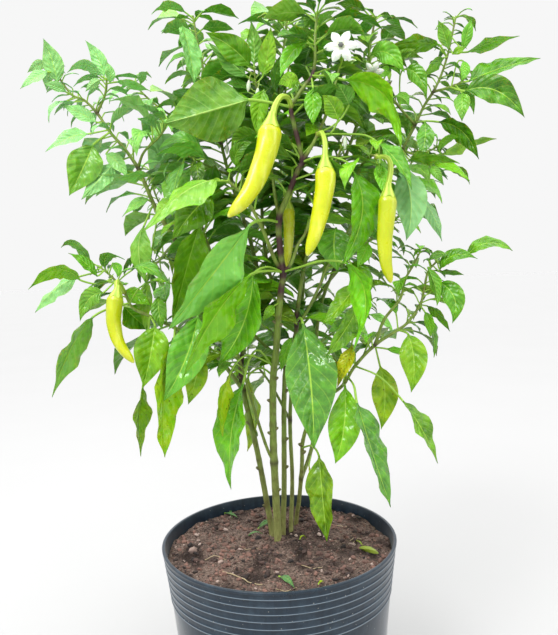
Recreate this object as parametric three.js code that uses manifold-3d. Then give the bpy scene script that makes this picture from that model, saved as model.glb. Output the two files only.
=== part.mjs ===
// A chilli pepper plant growing in a soft black nursery pot.
// Millimetres, +Z up. The origin is the middle of the pot's underside, and -Y faces the viewer.
import * as THREE from "three";
import { mergeVertices } from "three/addons/utils/BufferGeometryUtils.js";
import Module from "manifold-3d";

const wasm = await Module();
wasm.setup();

// Driving dimensions
const rimDiameter = 280;
const potHeight = 215;
const wallTaper = THREE.MathUtils.degToRad(6.3);
const potWall = 2.4;
const potFloor = 6;
const potSides = 28;
const soilBelowRim = 15;
const clearance = 0.4;

// The photograph's viewpoint, worked out from the ellipse that the pot's rim makes in it:
// the focal length and picture centre are in pixels, the place of the eye in mm from the middle of the rim.
const view = {
  focal: 640,
  centre: [279, 317.5],
  inFront: 754.1,
  aboveRim: 319.2,
  pitch: THREE.MathUtils.degToRad(4.18),
  roll: THREE.MathUtils.degToRad(2.05),
  yaw: THREE.MathUtils.degToRad(0.69),
};
const up = new THREE.Vector3(0, 0, 1);
const eye = new THREE.Vector3(0, -view.inFront, potHeight + view.aboveRim);
const sightRight = new THREE.Vector3(Math.cos(view.yaw), -Math.sin(view.yaw), 0);
const level = new THREE.Vector3(Math.sin(view.yaw), Math.cos(view.yaw), 0);
const sightAhead = level.clone().multiplyScalar(Math.cos(view.pitch))
  .addScaledVector(up, -Math.sin(view.pitch));
const sightUp = level.clone().multiplyScalar(Math.sin(view.pitch)).addScaledVector(up, Math.cos(view.pitch));

// The point seen at a column and row of the photograph, a number of mm nearer the viewer than the pot's axis.
function seen([column, row, nearer]) {
  const across = column - view.centre[0];
  const down = row - view.centre[1];
  const u = Math.cos(view.roll) * across - Math.sin(view.roll) * down;
  const v = Math.sin(view.roll) * across + Math.cos(view.roll) * down;
  const ray = sightAhead.clone().multiplyScalar(view.focal);
  ray.addScaledVector(sightRight, u).addScaledVector(sightUp, -v);
  return eye.clone().addScaledVector(ray, (-nearer - eye.y) / ray.y);
}

// The column and row where a point is seen, and how far ahead of the eye it lies.
function pictured(point) {
  const reach = point.clone().sub(eye);
  const ahead = reach.dot(sightAhead);
  const u = (view.focal * reach.dot(sightRight)) / ahead;
  const v = (-view.focal * reach.dot(sightUp)) / ahead;
  const column = view.centre[0] + Math.cos(view.roll) * u + Math.sin(view.roll) * v;
  const row = view.centre[1] - Math.sin(view.roll) * u + Math.cos(view.roll) * v;
  return { column, row, ahead };
}

// An even draw from 0 to 1 that depends only on its two seeds.
function draw(a, b) {
  const wave = Math.sin(a * 127.1 + b * 311.7) * 43758.5453;
  return wave - Math.floor(wave);
}

// A closed skin over rings of points: a ring of one point closes that end to a tip, a longer one ends flat.
// The diagonals turn with each side, so that both faces of a thin blade are split into triangles alike.
function skin(rings) {
  const positions = [];
  const faces = [];
  const starts = [];
  for (const ring of rings) {
    starts.push(positions.length / 3);
    for (const p of ring) positions.push(p.x, p.y, p.z);
  }
  for (let i = 0; i + 1 < rings.length; i++) {
    const n = Math.max(rings[i].length, rings[i + 1].length);
    for (let k = 0; k < n; k++) {
      const j = (k + 1) % n;
      const a = starts[i] + (rings[i].length > 1 ? k : 0);
      const b = starts[i] + (rings[i].length > 1 ? j : 0);
      const c = starts[i + 1] + (rings[i + 1].length > 1 ? j : 0);
      const d = starts[i + 1] + (rings[i + 1].length > 1 ? k : 0);
      if (rings[i].length === 1) faces.push(a, c, d);
      else if (rings[i + 1].length === 1) faces.push(a, b, c);
      else if (k % 2 === 0 && k < n - 1) faces.push(a, b, c, a, c, d);
      else faces.push(a, b, d, b, c, d);
    }
  }
  const last = rings.length - 1;
  for (let k = 2; k < rings[0].length; k++) faces.push(starts[0], starts[0] + k, starts[0] + k - 1);
  for (let k = 2; k < rings[last].length; k++) {
    faces.push(starts[last], starts[last] + k - 1, starts[last] + k);
  }
  const geometry = new THREE.BufferGeometry();
  geometry.setAttribute("position", new THREE.Float32BufferAttribute(positions, 3));
  geometry.setIndex(faces);
  return geometry;
}

// A closed solid that can be joined and cut, from a geometry's places alone. One that comes out with its
// faces pointing in is made again with each triangle turned over.
function solid(geometry) {
  const bare = geometry.clone();
  bare.deleteAttribute("normal");
  bare.deleteAttribute("uv");
  const merged = mergeVertices(bare, 1e-4);
  const made = (triangles) => new wasm.Manifold(new wasm.Mesh({
    numProp: 3,
    vertProperties: new Float32Array(merged.attributes.position.array),
    triVerts: new Uint32Array(triangles),
  }));
  const first = made(merged.index.array);
  return first.volume() < 0 ? made(merged.index.array.slice().reverse()) : first;
}

function geometryOf(made) {
  const mesh = made.getMesh();
  const geometry = new THREE.BufferGeometry();
  geometry.setAttribute("position", new THREE.Float32BufferAttribute(mesh.vertProperties, 3));
  geometry.setIndex(Array.from(mesh.triVerts));
  geometry.computeVertexNormals();
  return geometry;
}

// Two directions square to a third, the first of them level.
function square(along) {
  const side = new THREE.Vector3().crossVectors(along, up);
  if (side.length() < 1e-3) side.set(1, 0, 0);
  side.normalize();
  return [side, new THREE.Vector3().crossVectors(side, along).normalize()];
}

// Two directions square to a third, the first of them as near as it can be to a wanted one.
function squareNear(wanted, along) {
  const side = wanted.clone().addScaledVector(along, -wanted.dot(along)).normalize();
  return [side, new THREE.Vector3().crossVectors(side, along).normalize()];
}

// A stem or stalk: a tapering round bar along a curve, with flat ends. Each ring turns as little as it can
// from the one before, so the bar isn't twisted.
function stalk(points, radii, sides) {
  const curve = new THREE.CatmullRomCurve3(points, false, "catmullrom", 0.5);
  let [side, over] = square(curve.getTangent(0));
  const rings = points.map((_, i) => {
    const t = i / (points.length - 1);
    [side, over] = squareNear(side, curve.getTangent(t));
    const radius = THREE.MathUtils.lerp(radii[0], radii[1], t);
    return Array.from({ length: sides }, (_, k) => {
      const turn = (2 * Math.PI * k) / sides;
      return points[i].clone()
        .addScaledVector(side, radius * Math.cos(turn))
        .addScaledVector(over, -radius * Math.sin(turn));
    });
  });
  return skin(rings);
}

// Pot: injection-moulded soft plastic, with fine rings under its rim and drain holes in its raised floor.
const rimRadius = rimDiameter / 2;
const ribCount = 7;
const ribPitch = 8.3;
const ribRise = 1.0;
const ribHalf = 1.6;
const footRing = { inner: 104, outer: rimRadius - potHeight * Math.tan(wallTaper) };
const drain = { holes: 8, diameter: 12, sides: 8, circle: 86, ringInner: 70, ringOuter: 100, rise: 3 };
const rimBand = 3;
const outerRadius = (z) => rimRadius - ribRise - (potHeight - z) * Math.tan(wallTaper);
const innerRadius = (z) => outerRadius(z) - potWall;

function makePot() {
  const outline = [
    [0, 0],
    [drain.ringInner - 4, 0],
    [drain.ringInner, drain.rise],
    [drain.ringOuter, drain.rise],
    [footRing.inner, 0],
    [footRing.outer - ribRise, 0],
  ];
  for (let rib = ribCount; rib >= 1; rib--) {
    const z = potHeight - rib * ribPitch;
    outline.push([outerRadius(z - ribHalf), z - ribHalf]);
    outline.push([outerRadius(z) + ribRise, z]);
    outline.push([outerRadius(z + ribHalf), z + ribHalf]);
  }
  outline.push([rimRadius, potHeight - rimBand], [rimRadius, potHeight]);
  outline.push([innerRadius(potHeight), potHeight], [innerRadius(potFloor), potFloor], [0, potFloor]);
  const turned = new THREE.LatheGeometry(outline.map(([r, z]) => new THREE.Vector2(r, z)), potSides);
  turned.rotateX(Math.PI / 2);
  let pot = solid(turned);
  for (let i = 0; i < drain.holes; i++) {
    const turn = (2 * Math.PI * (i + 0.5)) / drain.holes;
    const width = drain.diameter / 2;
    const hole = new THREE.CylinderGeometry(width, width, 4 * potFloor, drain.sides);
    hole.rotateX(Math.PI / 2);
    hole.translate(drain.circle * Math.cos(turn), drain.circle * Math.sin(turn), 0);
    pot = pot.subtract(solid(hole));
  }
  return pot;
}

// Stems and branches. Each point is [column, row, mm nearer the viewer than the pot's axis].
// The thickness is the radius in mm at the foot and at the tip, and the leaves along it are
// [share of its length where they start, how many, length in mm of the largest].
const soilLevel = potHeight - soilBelowRim;
const rootDepth = 60;
const stemHole = { wider: 0.8, depth: rootDepth + clearance, above: 30, sides: 8 };
const branches = [
  { stem: "front", radius: [4.8, 1.4], sides: 5, leaves: [0.5, 4, 62], points: [
    [278, 542, -14.7], [276, 500, -8], [274, 462, 0], [273, 430, 6], [273, 380, 14], [276, 350, 18],
    [278, 320, 22], [281, 290, 28], [283, 272, 32], [280, 250, 36], [279, 219, 40], [288, 195, 43],
    [298, 170, 46], [302, 162, 46], [299, 145, 48], [293, 120, 50], [291, 107, 50], [297, 97, 50],
    [305, 85, 48], [312, 76, 46], [315, 60, 42], [315, 40, 38], [317, 12, 30]] },
  { stem: "front", radius: [1.9, 1.2], sides: 3, leaves: [0.5, 2, 55], points: [
    [274, 462, 0], [267, 448, 6], [256, 415, 10], [247, 384, 12], [238, 356, 14], [226, 330, 14],
    [214, 305, 16]] },
  { stem: "front", radius: [2.4, 1.2], sides: 4, leaves: [0.4, 3, 62], points: [
    [283, 272, 32], [275, 260, 38], [262, 228, 48], [250, 205, 54], [238, 190, 58], [228, 181, 60]] },
  { stem: "front", radius: [2.2, 1.1], sides: 4, leaves: [0.45, 3, 62], points: [
    [283, 272, 32], [291, 264, 40], [298, 245, 44], [306, 232, 46], [318, 200, 50], [330, 172, 54],
    [342, 148, 54]] },
  { stem: "front", radius: [2.2, 1.0], sides: 4, leaves: [0.4, 3, 48], points: [
    [302, 162, 46], [310, 149, 52], [318, 134, 56], [327, 112, 50], [333, 92, 46], [339, 70, 46],
    [343, 58, 48]] },
  { stem: "front", radius: [2.0, 1.0], sides: 3, leaves: [0.35, 3, 52], points: [
    [279, 219, 40], [275, 196, 24], [271, 165, 14], [266, 130, 8], [261, 104, 6], [256, 84, 6],
    [254, 68, 6]] },

  { stem: "left", radius: [3.8, 1.2], sides: 5, leaves: [0.42, 5, 66], points: [
    [272, 535, -36.5], [266, 498, -34], [258, 455, -28], [250, 420, -22], [243, 390, -18], [241, 362, -16],
    [250, 325, -30], [257, 308, -40], [259, 280, -52], [250, 240, -60], [238, 203, -54], [229, 175, -44],
    [221, 143, -38], [214, 112, -40], [206, 80, -46], [198, 45, -50], [193, 16, -50]] },
  { stem: "left", radius: [2.9, 1.0], sides: 4, leaves: [0.3, 6, 56], points: [
    [241, 362, -16], [232, 345, -5], [205, 292, 6], [176, 241, 12], [158, 213, 12], [146, 186, 12],
    [138, 168, 12], [124, 148, 10], [110, 132, 8], [97, 113, 8], [84, 100, 8], [71, 94, 10], [54, 70, 12]] },
  { stem: "left", radius: [2.5, 1.0], sides: 4, leaves: [0.35, 4, 52], points: [
    [243, 390, -18], [222, 362, 0], [200, 340, 14], [175, 328, 26], [150, 316, 33], [133, 308, 38],
    [124, 292, 42], [113, 278, 42], [100, 267, 42]] },
  { stem: "left", radius: [1.6, 0.9], sides: 3, leaves: [0.3, 3, 40], points: [
    [138, 168, 12], [144, 152, 22], [160, 136, 34], [168, 122, 40]] },
  { stem: "left", radius: [1.6, 1.0], sides: 3, leaves: [0.4, 2, 32], points: [
    [97, 113, 8], [105, 95, 14], [107, 78, 18]] },
  { stem: "left", radius: [2.0, 0.9], sides: 3, leaves: [0.2, 4, 52], points: [
    [221, 143, -38], [200, 128, -46], [172, 116, -48], [150, 100, -46], [134, 84, -42]] },
  { stem: "left", radius: [1.8, 0.9], sides: 3, leaves: [0.25, 3, 56], points: [
    [229, 175, -44], [212, 168, -22], [196, 160, 4], [184, 154, 22]] },
  { stem: "left", radius: [1.8, 0.9], sides: 3, leaves: [0.3, 3, 60], points: [
    [176, 241, 12], [166, 252, -24], [158, 262, -58], [150, 268, -86]] },

  { stem: "middle", radius: [3.6, 1.2], sides: 5, leaves: [0.42, 4, 62], points: [
    [283, 532, -44.5], [284, 490, -38], [284, 440, -30], [284, 400, -25], [286, 366, -20], [293, 345, -16],
    [296, 322, -14], [284, 303, -28], [270, 275, -44], [264, 240, -52], [262, 200, -56], [268, 160, -56],
    [276, 120, -50], [280, 80, -42], [284, 45, -36], [288, 15, -30]] },
  { stem: "middle", radius: [2.6, 1.1], sides: 4, leaves: [0.28, 4, 62], points: [
    [296, 322, -14], [301, 285, -12], [308, 250, -10], [318, 220, -12], [334, 186, -16], [348, 150, -18],
    [358, 120, -16], [364, 90, -12], [368, 60, -8], [372, 35, -4], [376, 16, 0]] },
  { stem: "middle", radius: [2.2, 1.0], sides: 4, leaves: [0.3, 4, 62], points: [
    [296, 322, -14], [305, 315, -6], [320, 285, 6], [327, 268, 12], [340, 246, 18], [352, 222, 22],
    [360, 200, 26]] },
  { stem: "middle", radius: [2.2, 1.0], sides: 4, leaves: [0.3, 4, 62], points: [
    [286, 366, -20], [272, 352, -17], [251, 332, -6], [235, 312, 4], [222, 285, 12], [212, 255, 20],
    [204, 232, 26], [198, 210, 28]] },

  { stem: "back", radius: [3.0, 1.2], sides: 5, leaves: [0.4, 6, 66], points: [
    [291, 530, -49.8], [292, 495, -55], [292, 470, -58], [290, 420, -62], [293, 370, -70], [300, 320, -86],
    [304, 270, -104], [300, 210, -118], [290, 150, -122], [285, 100, -116], [290, 60, -106],
    [296, 25, -98]] },
  { stem: "back", radius: [2.2, 1.0], sides: 3, leaves: [0.25, 6, 64], points: [
    [293, 370, -70], [270, 330, -100], [235, 290, -128], [200, 255, -140], [172, 225, -142], [156, 196, -136],
    [150, 170, -128]] },
  { stem: "back", radius: [2.2, 1.0], sides: 3, leaves: [0.25, 6, 64], points: [
    [300, 320, -86], [330, 280, -118], [365, 240, -136], [392, 205, -140], [408, 172, -134],
    [416, 146, -126]] },
  { stem: "back", radius: [2.0, 1.0], sides: 3, leaves: [0.25, 5, 64], points: [
    [304, 270, -104], [298, 245, -146], [288, 205, -180], [280, 165, -196], [276, 130, -200]] },
  { stem: "back", radius: [1.9, 1.0], sides: 3, leaves: [0.3, 4, 64], points: [
    [290, 420, -62], [268, 380, -104], [242, 350, -140], [218, 326, -162]] },
  { stem: "back", radius: [1.9, 1.0], sides: 3, leaves: [0.3, 4, 64], points: [
    [293, 370, -70], [318, 345, -112], [346, 322, -146], [372, 300, -164]] },
  { stem: "back", radius: [1.8, 1.0], sides: 3, leaves: [0.25, 5, 58], points: [
    [290, 150, -122], [252, 112, -136], [222, 84, -138], [200, 58, -132]] },
  { stem: "back", radius: [1.8, 1.0], sides: 3, leaves: [0.25, 5, 58], points: [
    [285, 100, -116], [326, 82, -128], [366, 66, -130], [398, 52, -124]] },

  { stem: "right", radius: [3.0, 1.1], sides: 5, leaves: [0.5, 4, 46], points: [
    [296, 525, -65.4], [299, 500, -54], [301, 478, -44], [302, 462, -38], [303, 440, -30], [312, 415, -16],
    [328, 397, -2], [343, 385, 8], [355, 366, 15], [375, 345, 21], [398, 330, 25], [408, 322, 27],
    [420, 305, 29], [424, 290, 30], [428, 272, 30], [437, 261, 30]] },
  { stem: "right", radius: [2.0, 0.9], sides: 3, leaves: [0.3, 3, 40], points: [
    [375, 345, 21], [384, 320, 26], [400, 299, 31], [405, 280, 33], [414, 264, 34], [420, 252, 34]] },
  { stem: "right", radius: [2.6, 1.0], sides: 4, leaves: [0.4, 5, 58], points: [
    [301, 478, -44], [308, 460, -52], [313, 440, -56], [317, 400, -58], [316, 345, -56], [321, 305, -52],
    [334, 270, -44], [360, 215, -30], [385, 178, -16], [402, 150, -8], [415, 125, 0], [424, 106, 4],
    [433, 92, 8], [440, 78, 10], [447, 57, 12], [452, 35, 12], [456, 16, 12]] },
  { stem: "right", radius: [1.5, 0.9], sides: 3, leaves: [0.4, 2, 30], points: [
    [433, 92, 8], [450, 87, 14], [461, 82, 18], [469, 72, 20]] },
  { stem: "right", radius: [1.6, 0.9], sides: 3, leaves: [0.3, 3, 32], points: [
    [402, 150, -8], [415, 154, 6], [431, 150, 12], [438, 146, 14]] },
  { stem: "right", radius: [2.0, 1.3], sides: 3, leaves: [0.3, 2, 52], points: [
    [360, 215, -30], [354, 192, 8], [360, 168, 42], [371, 156, 64], [380, 157, 76]] },
  { stem: "right", radius: [2.0, 0.9], sides: 3, leaves: [0.25, 3, 58], points: [
    [334, 270, -44], [362, 246, -70], [392, 222, -88], [418, 196, -98], [432, 170, -102]] },
  { stem: "right", radius: [1.6, 0.9], sides: 3, leaves: [0.3, 3, 44], points: [
    [415, 125, 0], [400, 108, 10], [388, 92, 16], [378, 76, 20], [370, 62, 22]] },
];

for (const branch of branches) {
  branch.route = branch.points.map(seen);
  const foot = branch.route[0];
  if (foot.z < soilLevel + 2) branch.route.unshift(foot.clone().addScaledVector(up, -rootDepth));
}

// The point on a branch's middle line at a share of its points, and the direction there.
function onBranch({ route }, t) {
  const place = t * (route.length - 1);
  const i = Math.min(Math.floor(place), route.length - 2);
  const along = route[i + 1].clone().sub(route[i]);
  return [route[i].clone().addScaledVector(along, place - i), along.normalize()];
}

// Peppers: [column, row, nearer] along each fruit from its shoulder to its tip, its widest radius in mm,
// its stalk from the branch to the calyx, and the leafy stem that it hangs from.
const fruitSides = 10;
const peppers = [
  { name: "pepper_1", stem: "front", radius: 12.6,
    stalk: [[291, 107, 50], [288, 98, 58], [281, 97, 68], [275, 106, 76], [272, 119, 80]],
    fruit: [[271, 122, 80.6], [268, 143, 84], [260, 170, 89], [247, 196, 95], [228, 217, 100]] },
  { name: "pepper_2", stem: "front", radius: 10.8,
    stalk: [[318, 134, 56], [322, 133, 66], [325, 143, 78], [325, 160, 84]],
    fruit: [[325, 163, 84.5], [325, 185, 88], [321, 210, 92], [315, 234, 96], [307, 256, 98]] },
  { name: "pepper_3", stem: "right", radius: 9.6,
    stalk: [[376, 156.6, 71], [387, 158, 82], [391, 168, 86], [388, 188, 88]],
    fruit: [[388, 191, 88.4], [387, 212, 90], [385, 238, 92], [386, 262, 94], [391, 283, 95]] },
  { name: "pepper_4", stem: "front", radius: 7.2,
    stalk: [[288, 195, 43], [291, 192, 34], [290, 196, 24], [288, 201, 16]],
    fruit: [[288, 203, 15.4], [289, 220, 12], [289, 236, 10], [288, 252, 9], [286, 267, 8]] },
  { name: "pepper_5", stem: "left", radius: 9.0,
    stalk: [[124, 292, 42], [121, 286, 52], [117, 282, 60], [117, 290, 66]],
    fruit: [[117, 292, 66.4], [114, 308, 69], [114, 326, 72], [120, 345, 75], [134, 363, 78]] },
];

// The fruit's radius along its length, as a share of its widest: narrow shoulder, steady taper, blunt tip.
function fruitWidth(s) {
  const shoulder = Math.sqrt(Math.min(1, 0.18 + s / 0.16));
  const taper = 1 - 0.56 * Math.pow(s, 1.8);
  const tip = Math.sqrt(Math.max(0, 1 - Math.pow(Math.max(0, (s - 0.82) / 0.18), 2)));
  return shoulder * taper * tip;
}

// A fruit is a turned shape, bent along its own curve. Its turning starts from a level direction.
const acrossFruit = new THREE.Vector3(1, 0, 0);
function fruit(pepper) {
  const curve = new THREE.CatmullRomCurve3(pepper.fruit.map(seen), false, "catmullrom", 0.5);
  const stations = [0, 0.04, 0.11, 0.25, 0.42, 0.6, 0.76, 0.88, 0.96, 1];
  const profile = stations.map((s, i) => {
    const ends = i === 0 || i === stations.length - 1;
    return new THREE.Vector2(ends ? 0 : pepper.radius * fruitWidth(s), s);
  });
  const turned = new THREE.LatheGeometry(profile, fruitSides);
  const places = turned.attributes.position;
  for (let i = 0; i < places.count; i++) {
    const s = places.getY(i);
    const [side, over] = squareNear(acrossFruit, curve.getTangent(s));
    const p = curve.getPoint(s)
      .addScaledVector(side, places.getX(i))
      .addScaledVector(over, places.getZ(i));
    places.setXYZ(i, p.x, p.y, p.z);
  }
  return solid(turned);
}

// The green calyx: a toothed cup over the fruit's shoulder, with a little air between them.
const calyxSides = 8;
function calyx(pepper) {
  const curve = new THREE.CatmullRomCurve3(pepper.fruit.map(seen), false, "catmullrom", 0.5);
  const top = curve.getPoint(0);
  const reach = curve.getLength();
  const corner = 1 / Math.cos(Math.PI / calyxSides);
  const widthAt = (s, more) => (pepper.radius * fruitWidth(s) + more) * corner;
  const ring = (s, radius, tooth = 0) => {
    const down = curve.getTangent(Math.max(0, s));
    const [side, over] = squareNear(acrossFruit, down);
    const middle = s > 0 ? curve.getPoint(s) : top.clone().addScaledVector(down, reach * s);
    return Array.from({ length: calyxSides }, (_, k) => {
      const turn = (2 * Math.PI * k) / calyxSides;
      return middle.clone().addScaledVector(down, (k % 2) * tooth)
        .addScaledVector(side, radius * Math.cos(turn))
        .addScaledVector(over, -radius * Math.sin(turn));
    });
  };
  return solid(skin([
    ring(-0.05, 2.4),
    ring(-0.02, 0.45 * pepper.radius),
    ring(0.03, widthAt(0.04, 1.3)),
    ring(0.08, widthAt(0.09, 1.5), 2),
    ring(0.08, widthAt(0.09, 0.6), 2),
    ring(0.04, widthAt(0.045, 0.6)),
    [top.clone().addScaledVector(curve.getTangent(0), -clearance)],
  ]));
}

// Blooms: the middle of each flower, the way it faces, and the reach of its petals in mm.
const blooms = [
  { name: "bloom_1", stem: "front", at: [341, 46, 62], faces: [-0.15, -1, 0.1], reach: 18,
    stalk: [[339, 70, 46], [342, 60, 54], [341, 50, 56]] },
  { name: "bloom_2", stem: "right", at: [373, 72, 42], faces: [-0.2, -0.75, -0.7], reach: 12,
    stalk: [[378, 76, 20], [373, 66, 28], [372, 67, 38]] },
];
const petalCount = 6;

function bloomFrame(bloom) {
  const ahead = new THREE.Vector3(...bloom.faces).normalize();
  const [side, over] = square(ahead);
  return { middle: seen(bloom.at), ahead, side, over };
}

// The corolla: six pointed petals joined at their feet, with hollowed faces and a short tube behind them.
function corolla(bloom) {
  const { middle, ahead, side, over } = bloomFrame(bloom);
  const star = (share, notch, forward) => Array.from({ length: 2 * petalCount }, (_, k) => {
    const turn = (Math.PI * k) / petalCount;
    const r = bloom.reach * (k % 2 === 0 ? share : share * notch);
    return middle.clone()
      .addScaledVector(side, r * Math.cos(turn))
      .addScaledVector(over, -r * Math.sin(turn))
      .addScaledVector(ahead, forward - (k % 2 === 0 ? 0.9 * Math.pow(share, 3) : 0));
  });
  return solid(skin([
    star(0.2, 0.9, -2.2),
    star(0.32, 0.9, 0),
    star(0.68, 0.56, 0.9),
    star(1, 0.42, 0.4),
    star(0.66, 0.5, 1.9),
    star(0.12, 0.9, 1.2),
  ]));
}

// The anthers stand in a small dark cone in front of the petals.
function anthers(bloom) {
  const { middle, ahead, side, over } = bloomFrame(bloom);
  const ring = (r, forward) => Array.from({ length: 8 }, (_, k) => middle.clone()
    .addScaledVector(side, r * Math.cos((Math.PI * k) / 4))
    .addScaledVector(over, -r * Math.sin((Math.PI * k) / 4))
    .addScaledVector(ahead, forward));
  return solid(skin([
    ring(0.13 * bloom.reach, 1.9),
    ring(0.17 * bloom.reach, 3.2),
    ring(0.06 * bloom.reach, 5.4),
  ]));
}

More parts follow.
